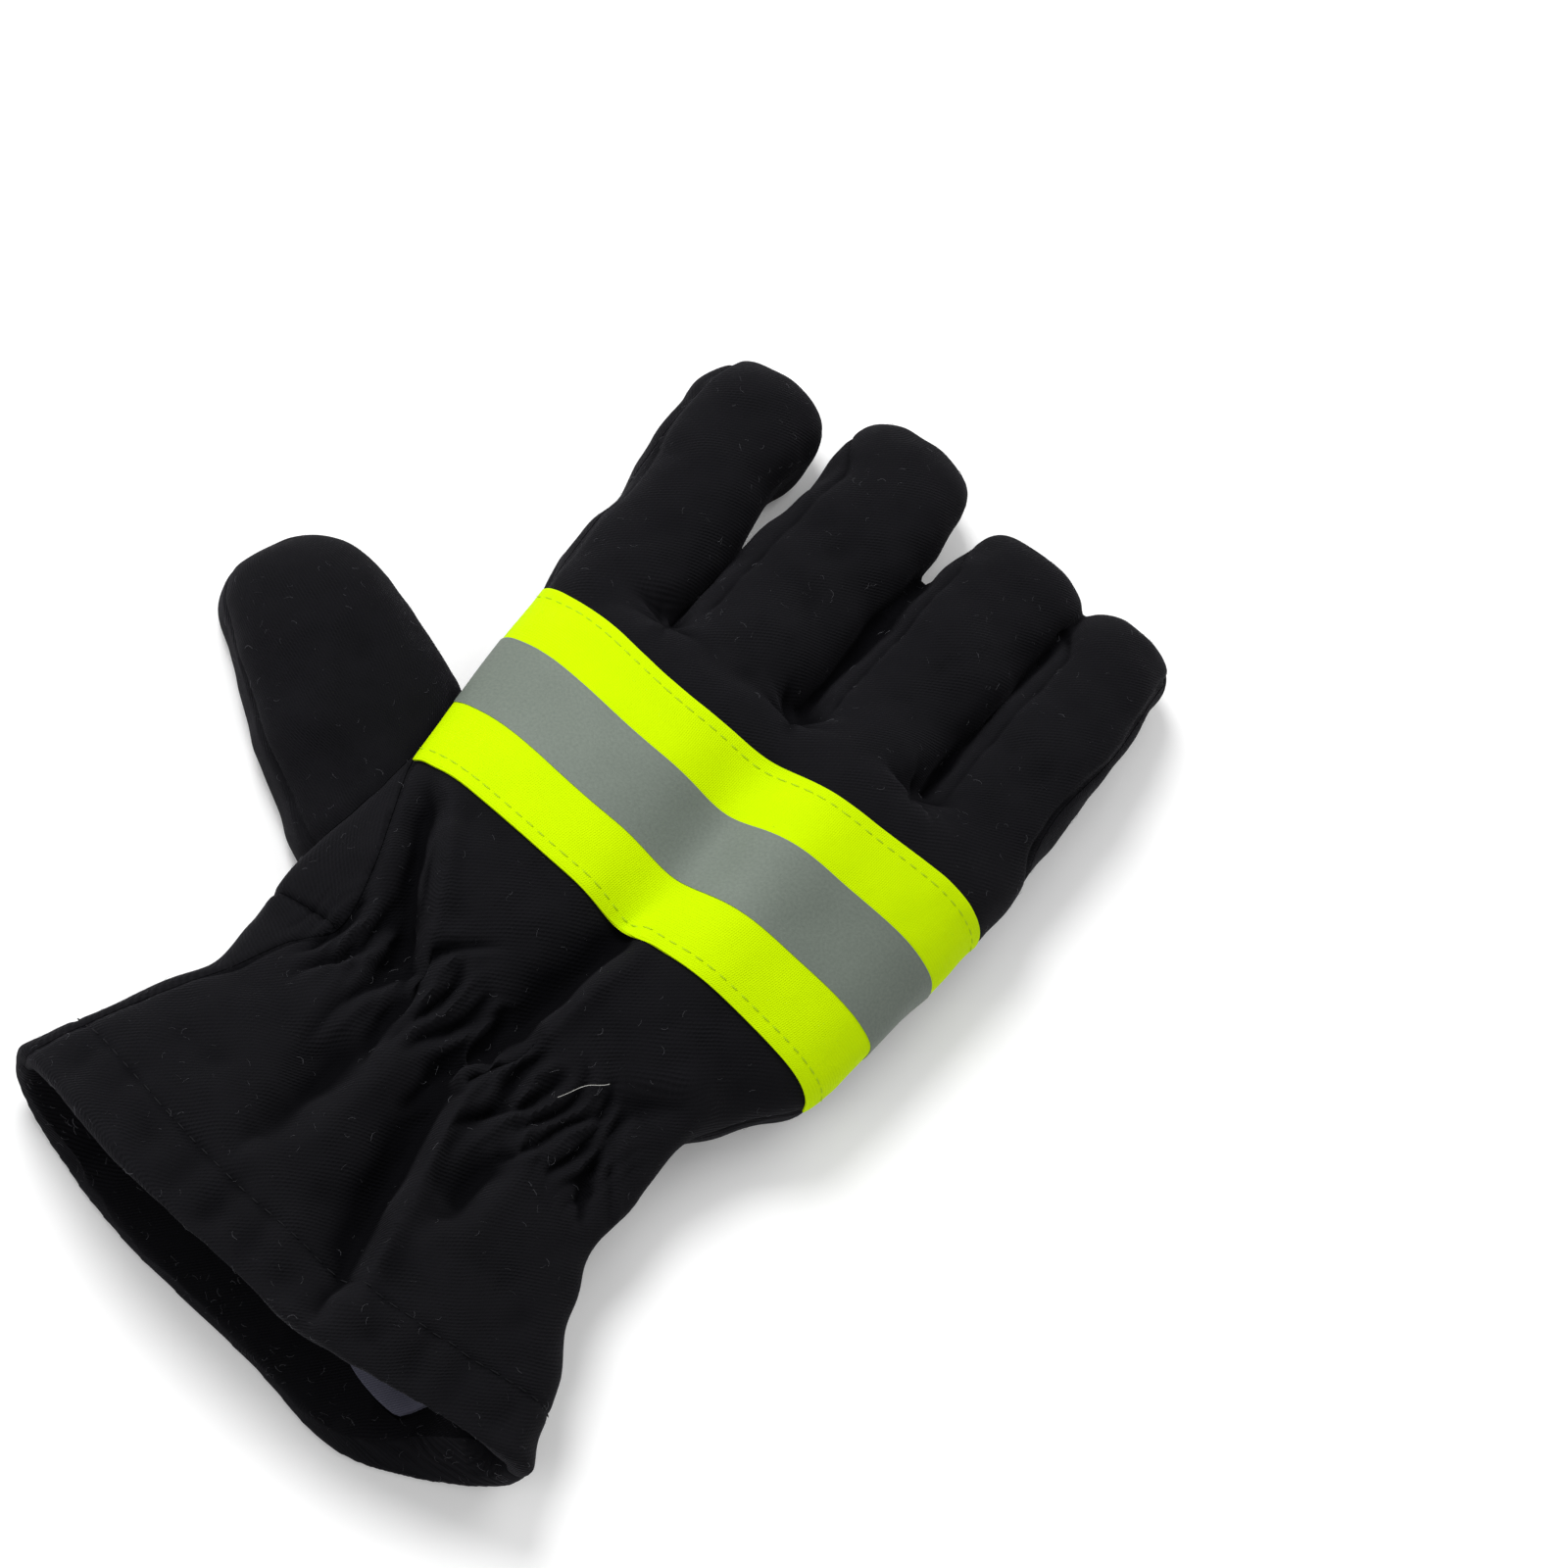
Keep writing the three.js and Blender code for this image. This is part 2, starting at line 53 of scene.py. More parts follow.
def table(names, rows):   # rows of numbers as dictionaries with the columns' names
    return [dict(zip(names.split(), row)) for row in rows]


def newObject(name, data):
    thing = bpy.data.objects.new(name, data)
    bpy.context.scene.collection.objects.link(thing)
    return thing


def fill(tree, node, values):   # plain values, or links from other nodes, into a node's inputs
    for label, value in values.items():
        if isinstance(value, bpy.types.NodeSocket):
            tree.links.new(value, node.inputs[label])
        else:
            node.inputs[label].default_value = value


def newMaterial(name):
    material = bpy.data.materials.new(name)
    material.use_nodes = True
    return material, material.node_tree, material.node_tree.nodes["Principled BSDF"]


# camera, floor and light

view = {"place": (0.0654716, -0.3516108, 0.6129728), "azimuth": 5.2446, "elevation": 57.0091,
        "roll": 34.8661, "focal": 80.0, "sensor": 36.0, "near": 0.01, "far": 20.0}
light = {
    "sky": 0.43,
    "lamps": [
        {"name": "key", "at": (-0.66, 0.2, 0.9), "size": 0.5, "watts": 9.2},
        {"name": "top", "at": (0.1, 0.6, 1.0), "size": 0.8, "watts": 2.6},
        {"name": "front", "at": (-0.4, -1.0, 0.7), "size": 0.8, "watts": 3.9},
    ],
}
ground = {"half": 4.0, "tone": 0.95, "glow": 0.12, "rough": 0.9}


def makeCamera():
    azimuth, elevation, roll = (math.radians(view[k]) for k in ("azimuth", "elevation", "roll"))
    back = Vector((math.sin(azimuth) * math.cos(elevation),
                   -math.cos(azimuth) * math.cos(elevation), math.sin(elevation)))
    right = Vector((math.cos(azimuth), math.sin(azimuth), 0.0))
    up = back.cross(right)
    across = right * math.cos(roll) + up * math.sin(roll)
    upward = -right * math.sin(roll) + up * math.cos(roll)
    data = bpy.data.cameras.new("camera")
    data.lens, data.sensor_width = view["focal"], view["sensor"]
    data.clip_start, data.clip_end = view["near"], view["far"]
    camera = newObject("camera", data)
    turn = Matrix((across, upward, back)).transposed()
    camera.matrix_world = Matrix.Translation(view["place"]) @ turn.to_4x4()
    bpy.context.scene.camera = camera


def makeLight():
    world = bpy.data.worlds.new("studio")
    bpy.context.scene.world = world
    world.use_nodes = True
    fill(world.node_tree, world.node_tree.nodes["Background"],
         {"Color": (1, 1, 1, 1), "Strength": light["sky"]})
    for row in light["lamps"]:
        data = bpy.data.lights.new(row["name"], "AREA")
        data.shape = "DISK"
        data.size, data.energy = row["size"], row["watts"]
        lamp = newObject(row["name"], data)
        lamp.location = row["at"]
        lamp.rotation_euler = (-Vector(row["at"])).to_track_quat("-Z", "Y").to_euler()


def makeFloor():
    mesh = bpy.data.meshes.new("floor")
    corners = [(x * ground["half"], y * ground["half"], 0) for x, y in ((-1, -1), (1, -1), (1, 1), (-1, 1))]
    mesh.from_pydata(corners, [], [(0, 1, 2, 3)])
    material, tree, shader = newMaterial("paleFloor")
    fill(tree, shader, {
        "Base Color": (ground["tone"], ground["tone"], ground["tone"], 1), "Roughness": ground["rough"],
        "Emission Color": (1, 1, 1, 1), "Emission Strength": ground["glow"]})
    mesh.materials.append(material)
    newObject("floor", mesh)


bpy.context.scene.view_settings.view_transform = "Standard"
bpy.context.scene.view_settings.look = "None"
makeCamera()
makeLight()
makeFloor()
report("camera, light and floor")

# the glove's form, in millimetres in the hand frame

form = {
    "palmLength": 100.3, "palmHalf": 56.5, "palmHeight": 35.0, "cuffLength": 56.5,
    "hemBow": 11.5, "hemLobe": 6.5, "hemLobeAt": 0.56, "hemLobeWidth": 19.0,
    "sideSeam": 13.0, "knuckleSlant": 0.11, "flatSink": 3.0,
    "fingerThickness": 25.0, "fingerGap": 0.8, "fingerRoot": 0.89,
    "thumbReach": 51.5, "thumbWidth": 49.0, "thumbThickness": 24.0, "thumbAngle": 155.0,
    "thumbX": -0.78, "thumbY": 0.37, "thumbDome": 0.25, "thumbSunk": 0.06,
    "cloth": 3.0, "facing": 1.3, "hemDepth": 14.0, "hemRound": 1.9,
    "seamShare": 0.45, "fingerSeam": 0.48, "seamGap": 0.16, "crossSeam": 0.015,
    "gatherReach": 15.0, "gatherPinch": 3.2,
}
sleeveRows = table("along left right height", [
    (-1.0, -1.12, 1.04, 0.84), (-0.72, -1.02, 0.94, 0.82), (-0.33, -0.86, 0.77, 0.79),
    (-0.10, -0.86, 0.75, 0.79), (0.0, -0.88, 0.755, 0.80), (0.15, -0.89, 0.73, 0.85),
    (0.28, -0.875, 0.84, 0.90), (0.40, -0.86, 0.99, 0.95), (0.65, -0.90, 1.05, 1.02),
    (0.88, -0.93, 1.075, 1.02), (0.96, -0.945, 1.085, 0.95), (1.01, -0.935, 1.065, 0.83),
    (1.035, -0.91, 1.04, 0.68), (1.05, -0.87, 1.0, 0.48),
])
fingers = table("name reach leftRoot leftTip rightRoot rightTip lean rise blunt slimLeft slimRight", [
    ("index", 91.4, -0.93, -1.115, -0.485, -0.515, 0.0, 0.08, 0.1, 0.0, 2.2),
    ("middle", 100.7, -0.485, -0.515, 0.07, 0.08, -1.6, 0.30, 0.8, 0.9, -0.4),
    ("ring", 93.1, 0.07, 0.08, 0.585, 0.635, 2.2, 0.30, 0.8, 0.0, 0.0),
    ("little", 89.4, 0.585, 0.635, 1.12, 1.085, -1.0, 0.10, 1.0, 0.0, 0.0),
])
fingerProfile = table("along width height", [
    (0.0, 0.90, 1.0), (0.10, 0.99, 1.02), (0.32, 1.0, 1.04), (0.58, 1.0, 1.03), (0.76, 0.98, 0.98),
    (0.87, 0.91, 0.92), (0.94, 0.77, 0.80), (0.98, 0.55, 0.62), (1.0, 0.28, 0.42),
])
thumbProfile = table("along width height", [
    (0.0, 0.96, 0.74), (0.22, 0.93, 0.80), (0.45, 0.84, 0.97), (0.68, 0.755, 1.02), (0.84, 0.66, 0.94),
    (0.94, 0.50, 0.78), (0.985, 0.32, 0.58), (1.0, 0.16, 0.42),
])
# main folds: ends as shares of palmHalf across and of palmLength or cuffLength along
folds = table("x0 y0 x1 y1 width steep depth", [
    (-0.66, 0.33, -0.34, 0.03, 5.5, 0.24, 7.6), (0.12, 0.88, 0.15, 0.34, 10.0, 0.8, 5.4),
    (0.15, 0.34, 0.07, 0.03, 8.0, 0.2, 7.4), (-0.28, -0.18, -0.32, -0.75, 6.0, 0.5, 4.6),
    (0.02, -0.20, 0.19, -1.0, 8.5, 0.2, 8.6), (0.30, -0.28, 0.30, -0.55, 6.0, 0.4, 5.0),
    (0.52, -0.04, 0.62, -0.16, 4.5, 0.5, 2.0), (0.44, 0.08, 0.68, 0.19, 5.0, 0.4, 2.6),
])
# the back cloth's seams
seamRows = table("along left right", [
    (-1.3, -1.10, 1.4), (-1.0, -1.06, 1.4), (-0.66, -0.94, 1.4), (-0.33, -0.79, 1.4), (-0.12, -0.70, 1.4),
    (0.02, -0.61, 1.4), (0.13, -0.65, 1.4), (0.27, -0.745, 1.4), (0.395, -0.825, 1.4), (0.60, -0.875, 1.4),
    (0.90, -0.925, 1.4), (1.15, -0.965, 1.06), (1.5, -1.02, 1.06), (1.75, -1.02, 1.04), (2.2, -1.10, 1.10),
])


def column(rows, name, at):   # smooth value of a column between the rows of a table
    at = np.asarray(at, float)
    places = np.array([row["along"] for row in rows])
    values = np.array([row[name] for row in rows])
    i = np.clip(np.searchsorted(places, at, side="left") - 1, 0, len(rows) - 2)
    before = np.maximum(i - 1, 0)
    after = np.minimum(i + 2, len(rows) - 1)
    span = places[i + 1] - places[i]
    t = np.clip((at - places[i]) / span, 0, 1)
    slopeA = (values[i + 1] - values[before]) / (places[i + 1] - places[before])
    slopeB = (values[after] - values[i]) / (places[after] - places[i])
    t2, t3 = t * t, t ** 3
    return ((2 * t3 - 3 * t2 + 1) * values[i] + (t3 - 2 * t2 + t) * span * slopeA
            + (3 * t2 - 2 * t3) * values[i + 1] + (t3 - t2) * span * slopeB)


def smoothStep(value, low, high):
    t = np.clip((value - low) / (high - low), 0, 1)
    return t * t * (3 - 2 * t)


def alongToY(along):
    return np.where(np.asarray(along) < 0, along * form["cuffLength"], along * form["palmLength"])


def yToAlong(y):
    y = np.asarray(y)
    return np.where(y < 0, y / form["cuffLength"], y / form["palmLength"])


def rowAt(along):   # the sleeve's left and right edge and its top there
    return (column(sleeveRows, "left", along) * form["palmHalf"],
            column(sleeveRows, "right", along) * form["palmHalf"],
            column(sleeveRows, "height", along) * form["palmHeight"])


elastic = {"rise": 2.6, "start": 0.5, "bend": 1.6, "drop": 0.8}
foldLook = {"turn": (-30, 30), "fadeFrom": 0.12, "fadeSpan": 0.76, "fadePower": 0.7,
            "ridge": 0.22, "ridgeAt": 2.2, "ridgeTurn": (-10, 30)}
section = {"bend": 0.45, "even": 0.55, "backPower": 2.35, "palmPower": 3.0}   # the form of a ring
fingerLook = {"slimLeft": (0.52, 0.78), "slimRight": (0.45, 0.63), "slimEnd": (0.70, 0.9), "slimLost": 0.9,
              "leanAt": (0.6, 1.0), "bluntWidth": 0.17, "bluntAt": (0.82, 0.98), "riseAt": (0.03, 0.4)}


def gatherLine(x):   # the elastic's line across the back of the wrist
    around = (x + form["palmHalf"] * elastic["start"]) / form["palmHalf"] * elastic["bend"]
    return elastic["rise"] * np.cos(around) - elastic["drop"]


def foldSink(x, y):   # depth of the main folds and of the elastic's pinch
    depth = form["gatherPinch"] * np.exp(-((y - gatherLine(x)) / form["gatherReach"]) ** 2)
    for fold in folds:
        start = np.array([fold["x0"] * form["palmHalf"], float(alongToY(fold["y0"]))])
        end = np.array([fold["x1"] * form["palmHalf"], float(alongToY(fold["y1"]))])
        way = end - start
        share = np.clip(((x - start[0]) * way[0] + (y - start[1]) * way[1]) / (way @ way), 0, 1)
        distance = np.hypot(x - start[0] - share * way[0], y - start[1] - share * way[1])
        turn = way[0] * (y - start[1]) - way[1] * (x - start[0])   # above 0 on the steep side
        width = fold["width"] * (fold["steep"] + (1 - fold["steep"]) * (1 - smoothStep(turn, *foldLook["turn"])))
        fade = np.sin(np.pi * (foldLook["fadeFrom"] + foldLook["fadeSpan"] * share)) ** foldLook["fadePower"]
        ridge = foldLook["ridge"] * np.exp(-((distance - foldLook["ridgeAt"] * width) / width) ** 2)
        ridge = ridge * smoothStep(turn, *foldLook["ridgeTurn"])
        depth = depth + fold["depth"] * fade * (np.exp(-(distance / width) ** 2) - ridge)
    return depth


def ringTurns(over, under):   # places round a ring, and which of them are on its upper side
    turn = np.concatenate([np.arange(over) / over, np.arange(under) / under])
    return turn, np.arange(over + under) < over


def softPoints(half, top, seam, inset, turn, upper):
    spread = section["bend"] * np.cos(np.pi * turn) + section["even"] * (1 - 2 * turn)
    power = np.where(upper, section["backPower"], section["palmPower"])
    rise = np.maximum(1 - np.abs(spread) ** power, 0) ** (1 / power)
    across = (half - inset) * np.where(upper, spread, -spread)
    low = np.maximum(seam - (seam + form["flatSink"] - inset) * rise, inset)
    high = seam + (top - inset - seam) * rise
    return across, np.where(upper, high, low), np.where(upper, rise, 0), np.where(upper, 0, rise)


def sleevePoints(stop, inset, turn, upper):   # the cuff and the hand, from the hem to the knuckles
    stop = np.asarray(stop, float)
    along = np.clip(stop, sleeveRows[0]["along"], sleeveRows[-1]["along"])
    left, right, top = rowAt(along)
    seam = np.minimum(form["sideSeam"], top * form["seamShare"])
    middle, half = (left + right) / 2, (right - left) / 2
    slant = form["knuckleSlant"] * smoothStep(along, 0.4, 1.0)
    bow = form["hemBow"] * smoothStep(-along, 0.2, 1.0)
    across, height, crown, keel = softPoints(half, top, seam, inset, turn, upper)
    x = middle + across
    edge = 1 - (across / half) ** 2
    lobe = np.exp(-((x - form["hemLobeAt"] * form["palmHalf"]) / form["hemLobeWidth"]) ** 2) * keel
    y = alongToY(stop) + slant * x - bow * edge - form["hemLobe"] * bow / form["hemBow"] * lobe
    sink = foldSink(x, y) * smoothStep(crown, 0.15, 0.75)
    return np.stack([x, y, height - sink], -1)


def sleeveRing(stop, inset, over, under):
    return sleevePoints(stop, inset, *ringTurns(over, under))


def fingerAt(finger, share):
    share = np.asarray(share, float)
    left = (finger["leftRoot"] + (finger["leftTip"] - finger["leftRoot"]) * share) * form["palmHalf"]
    right = (finger["rightRoot"] + (finger["rightTip"] - finger["rightRoot"]) * share) * form["palmHalf"]
    left = left + finger["slimLeft"] * smoothStep(share, *fingerLook["slimLeft"])
    right = right - (finger["slimRight"] * smoothStep(share, *fingerLook["slimRight"])
                     * (1 - fingerLook["slimLost"] * smoothStep(share, *fingerLook["slimEnd"])))
    knuckle = (finger["leftRoot"] + finger["rightRoot"]) / 2 * form["palmHalf"]
    root = form["fingerRoot"] * form["palmLength"] + form["knuckleSlant"] * knuckle
    return {
        "x": (left + right) / 2 + finger["lean"] * smoothStep(share, *fingerLook["leanAt"]),
        "y": root + share * finger["reach"],
        "half": (right - left) / 2 * (column(fingerProfile, "width", share)
                                      + finger["blunt"] * fingerLook["bluntWidth"]
                                      * smoothStep(share, *fingerLook["bluntAt"])) - form["fingerGap"] / 2,
        "top": form["fingerThickness"] * (column(fingerProfile, "height", share)
                                          + finger["rise"] * (1 - smoothStep(share, *fingerLook["riseAt"]))),
    }


def fingerRings(finger, inset, over, under, stops):
    rings = []
    for share in stops:
        at = fingerAt(finger, share)
        across, height, _, _ = softPoints(at["half"], at["top"], at["top"] * form["fingerSeam"], inset,
                                          *ringTurns(over, under))
        end = -inset if share == stops[-1] else 0
        rings.append(np.stack([at["x"] + across, np.full_like(across, at["y"] + end), height], 1))
    return rings


def thumbRings(inset, over, under, stops):
    angle = math.radians(form["thumbAngle"])
    way = np.array([math.cos(angle), math.sin(angle), 0])
    side = np.array([math.sin(angle), -math.cos(angle), 0])
    root = np.array([form["thumbX"] * form["palmHalf"], form["thumbY"] * form["palmLength"], 0])
    rings = []
    for share in stops:
        half = form["thumbWidth"] * float(column(thumbProfile, "width", share)) / 2
        top = form["thumbThickness"] * float(column(thumbProfile, "height", share))
        reach = (share * (form["thumbReach"] + form["thumbWidth"] * form["thumbDome"])
                 - form["thumbWidth"] * form["thumbSunk"])
        end = inset if share == stops[-1] else 0
        across, height, _, _ = softPoints(half, top, top * form["fingerSeam"], inset, *ringTurns(over, under))
        ring = root + way * (reach - end) + side * across[:, None]
        ring[:, 2] = height
        rings.append(ring)
    return rings


# meshes

def loft(rings):   # closed mesh through rings that all have the same count
    rings = np.array(rings)
    count, around = rings.shape[:2]
    points = np.concatenate([rings.reshape(-1, 3), rings[0].mean(0)[None], rings[-1].mean(0)[None]])
    r, i = np.meshgrid(np.arange(count - 1), np.arange(around), indexing="ij")
    j = (i + 1) % around
    quads = np.stack([r * around + i, r * around + j, (r + 1) * around + j, (r + 1) * around + i], -1)
    quads = quads.reshape(-1, 4)
    i = np.arange(around)
    j = (i + 1) % around
    first, last = count * around, count * around + 1
    near = np.stack([np.full(around, first), j, i], 1)
    far = np.stack([np.full(around, last), (count - 1) * around + i, (count - 1) * around + j], 1)
    tris = np.concatenate([near, far])
    split = np.concatenate([quads[:, [0, 1, 2]], quads[:, [0, 2, 3]], tris])
    a, b, c = (points[split[:, k]] for k in range(3))
    if (a * np.cross(b, c)).sum() < 0:
        quads, tris = quads[:, ::-1], tris[:, ::-1]
    return points, quads.tolist() + tris.tolist()


def meshObject(name, points, faces):   # points in the hand frame, mm
    mesh = bpy.data.meshes.new(name)
    placed = (np.asarray(points) + handOrigin) * mm
    mesh.from_pydata(placed.tolist(), [], faces)
    mesh.update()
    return newObject(name, mesh)


def joined(parts):   # several closed meshes in one
    points, faces, start = [], [], 0
    for part in parts:
        points.append(part[0])
        faces += [[k + start for k in face] for face in part[1]]
        start += len(part[0])
    return np.concatenate(points), faces


def applied(piece):   # the modifiers' result becomes the piece's plain mesh
    graph = bpy.context.evaluated_depsgraph_get()
    mesh = bpy.data.meshes.new_from_object(piece.evaluated_get(graph))
    piece.modifiers.clear()
    old = piece.data
    piece.data = mesh
    bpy.data.meshes.remove(old)
    return piece


def remeshed(piece, size):
    modifier = piece.modifiers.new("remesh", "REMESH")
    modifier.mode = "VOXEL"
    modifier.voxel_size = size * mm
    return applied(piece)


def cut(piece, tool, way):
    modifier = piece.modifiers.new("cut", "BOOLEAN")
    modifier.operation = way
    modifier.solver = "MANIFOLD"
    modifier.object = tool
    return applied(piece)


def copyOf(piece, name):
    return newObject(name, piece.data.copy())


def discard(*pieces):
    for piece in pieces:
        mesh = piece.data
        bpy.data.objects.remove(piece)
        bpy.data.meshes.remove(mesh)


def valuesOf(items, name):
    flat = np.empty(len(items) * 3, np.float32)
    items.foreach_get(name, flat)
    return flat.reshape(-1, 3).astype(float)


def pointsOf(piece):   # mm in the hand frame
    return valuesOf(piece.data.vertices, "co") / mm - handOrigin


def normalsOf(piece):
    return valuesOf(piece.data.vertex_normals, "vector")


def movePoints(piece, points):
    flat = ((points + handOrigin) * mm).astype(np.float32)
    piece.data.vertices.foreach_set("co", flat.ravel())
    piece.data.update()


def settle(piece, points):   # moves the points, but none below the floor
    points[:, 2] = np.maximum(points[:, 2], 0)
    movePoints(piece, points)


def setValues(piece, name, kind, values):   # an attribute of the piece's points
    attribute = piece.data.attributes.new(name, kind, "POINT")
    attribute.data.foreach_set("value" if kind == "FLOAT" else "vector", values.astype(np.float32).ravel())


def treeOf(points, piece):
    return BVHTree.FromPolygons([tuple(p) for p in points], [tuple(f.vertices) for f in piece.data.polygons])


def edgesOf(piece):
    flat = np.empty(len(piece.data.edges) * 2, np.int32)
    piece.data.edges.foreach_get("vertices", flat)
    return flat.reshape(-1, 2)


def relaxed(points, edges, share, rounds):
    count = np.bincount(edges.ravel(), minlength=len(points))[:, None]
    share = np.broadcast_to(share, (len(points),))[:, None]
    for _ in range(rounds):
        total = np.stack([
            np.bincount(edges[:, 0], points[edges[:, 1], k], len(points))
            + np.bincount(edges[:, 1], points[edges[:, 0], k], len(points)) for k in range(3)], 1)
        points = points + share * (total / np.maximum(count, 1) - points)
    return points


def mainBody(piece):   # drops the slivers that a cut leaves
    edges = edgesOf(piece)
    label = np.arange(len(piece.data.vertices))
    while True:
        low = np.minimum(label[edges[:, 0]], label[edges[:, 1]])
        new = label.copy()
        np.minimum.at(new, edges[:, 0], low)
        np.minimum.at(new, edges[:, 1], low)
        new = new[new]
        if (new == label).all():
            break
        label = new
    names, sizes = np.unique(label, return_counts=True)
    if len(names) > 1:
        keep = names[sizes.argmax()]
        body = bmesh.new()
        body.from_mesh(piece.data)
        body.verts.ensure_lookup_table()
        bmesh.ops.delete(body, geom=[v for v in body.verts if label[v.index] != keep], context="VERTS")
        body.to_mesh(piece.data)
        body.free()
    return piece


# outer form

detail = {"voxel": 0.8, "rings": 230, "over": 200, "under": 90, "fingerOver": 60, "fingerUnder": 40,
          "thumbOver": 80, "thumbUnder": 50, "hollowOver": 160, "hollowUnder": 80, "tubeOver": 40,
          "tubeUnder": 30, "tubeStops": np.linspace(0, 0.93, 24)}
smoothing = {"share": 0.5, "handRounds": 4, "thumbRounds": 5, "rootShare": 0.6, "rootRounds": 45,
             "rootLift": 6, "rootReach": 13}

sleeveStops = np.concatenate([np.linspace(-1, 0.9, detail["rings"]), np.linspace(0.9, 1.05, 40)[1:]])
hemRound = form["hemRound"]


def hemInset(stop):   # the hem's fold is round
    depth = (stop + 1) * form["cuffLength"]
    if depth >= hemRound:
        return 0.0
    return hemRound - math.sqrt(max(hemRound ** 2 - (hemRound - depth) ** 2, 0))


hemStops = -1 + hemRound / form["cuffLength"] * (1 - np.cos(np.linspace(0.12, math.pi / 2, 8)))
outerStops = np.concatenate([hemStops, sleeveStops[sleeveStops > hemStops[-1] + 0.004]])
sleeveOuter = loft([sleeveRing(s, hemInset(s), detail["over"], detail["under"]) for s in outerStops])
tipStops = np.concatenate([np.linspace(0, 0.85, 60), 0.85 + 0.15 * np.sin(np.linspace(0, math.pi / 2, 30))[1:]])
fingerOuters = [loft(fingerRings(f, 0, detail["fingerOver"], detail["fingerUnder"], tipStops)) for f in fingers]
handOuter = remeshed(meshObject("handOuter", *joined([sleeveOuter] + fingerOuters)), detail["voxel"])
thumbStops = np.concatenate([[-0.2, -0.1], tipStops])
thumbOuter = meshObject("thumbOuter", *loft(thumbRings(0, detail["thumbOver"], detail["thumbUnder"], thumbStops)))
remeshed(thumbOuter, detail["voxel"])
report(f"outer form, {len(handOuter.data.polygons)} + {len(thumbOuter.data.polygons)} faces")


def fingerRootMask(p):   # 1 around the roots of the fingers, on the back
    knuckle = form["fingerRoot"] * form["palmLength"] + smoothing["rootLift"] + form["knuckleSlant"] * p[:, 0]
    return np.exp(-((p[:, 1] - knuckle) / smoothing["rootReach"]) ** 4)


points, edges = pointsOf(handOuter), edgesOf(handOuter)
points = relaxed(points, edges, smoothing["share"], smoothing["handRounds"])
points = relaxed(points, edges, smoothing["rootShare"] * fingerRootMask(points), smoothing["rootRounds"])
settle(handOuter, points)
points = relaxed(pointsOf(thumbOuter), edgesOf(thumbOuter), smoothing["share"], smoothing["thumbRounds"])
settle(thumbOuter, points)
report("smoothed")


# cutters for the seams

strip = {"top": 0.66, "low": 0.30, "overlap": 0.05, "stops": [0, 0.12, 0.3, 0.6, 0.8, 0.93],
         "seamAt": 0.86, "seamFrom": 0.14, "seamTo": 0.86}


def boxLoft(rows):   # closed body through rectangles: y, x0, x1, z0, z1
    return loft([[(x1, y, z0), (x1, y, z1), (x0, y, z1), (x0, y, z0)] for y, x0, x1, z0, z1 in rows])


def backLimits(y):   # the back cloth's left and right limits
    along = yToAlong(y)
    return (column(seamRows, "left", along) * form["palmHalf"],
            column(seamRows, "right", along) * form["palmHalf"])


def backBody(gap):
    rows = []
    for y in np.linspace(-1.3 * form["cuffLength"], 2.2 * form["palmLength"], 120):
        left, right = backLimits(y)
        rows.append((y, float(left) - gap, float(right) + gap, form["sideSeam"] - gap, 90.0))
    return boxLoft(rows)


def stripRows(left, right, onRight, gap):
    finger = right if onRight else left
    crotch = form["palmLength"] - 1 + form["knuckleSlant"] * left["rightRoot"] * form["palmHalf"]
    start = (crotch - float(fingerAt(finger, 0)["y"])) / finger["reach"]
    rows = []
    for i, share in enumerate(strip["stops"]):
        at = {k: float(v) for k, v in fingerAt(finger, start + (1 - start) * share).items()}
        onLeft = (at["y"] - float(fingerAt(left, 0)["y"])) / left["reach"]
        middleLine = (left["rightRoot"] + (left["rightTip"] - left["rightRoot"]) * onLeft) * form["palmHalf"]
        opening = min(max(i / 2, 0.12), 0.92)
        reach = middleLine + (at["x"] - middleLine) * opening
        close = float(smoothStep(share, 0.6, 0.93))
        middle = at["top"] * 0.52
        low, high = at["top"] * strip["low"], at["top"] * strip["top"]
        edge = strip["overlap"] + gap
        rows.append([at["y"], min(middleLine, reach) - edge, max(middleLine, reach) + edge,
                     low + (middle - 1 - low) * close - gap, high + (middle + 1 - high) * close + gap])
    rows[0][0] -= gap
    rows[-1][0] += gap
    return rows


stripPairs = [(f"{a['name']}_{b['name']}", a, b) for a, b in zip(fingers, fingers[1:])]


def insideStrip(p):   # how deep a point lies in the nearest strip's zone, below 0 outside
    best = np.full(len(p), -1e3)
    for _, left, right in stripPairs:
        for onRight in (False, True):
            rows = np.array(stripRows(left, right, onRight, 0))
            x0, x1, z0, z1 = (np.interp(p[:, 1], rows[:, 0], rows[:, k]) for k in (1, 2, 3, 4))
            sides = np.minimum.reduce([p[:, 0] - x0, x1 - p[:, 0], p[:, 2] - z0, z1 - p[:, 2],
                                       p[:, 1] - rows[0, 0], rows[-1, 0] - p[:, 1]])
            best = np.maximum(best, sides)
    return best


def flankSink(p):   # the strips' upper seams, on the left flanks of the fingers
    depth = np.zeros(len(p))
    for finger in fingers[1:]:
        share = (p[:, 1] - float(fingerAt(finger, 0)["y"])) / finger["reach"]
        at = fingerAt(finger, np.clip(share, 0, 1))
        turnDown = 0.30 * smoothStep(share, 0.72, strip["seamTo"] + 0.05)
        away = p[:, 2] - at["top"] * (strip["seamAt"] - turnDown)
        beside = (p[:, 0] < at["x"]) * (p[:, 0] > at["x"] - at["half"] - 1.5)
        fade = smoothStep(share, strip["seamFrom"], strip["seamFrom"] + 0.08) * (share < strip["seamTo"] + 0.06)
        depth += seamSink(away, p[:, 1]) * fade * beside
    return depth


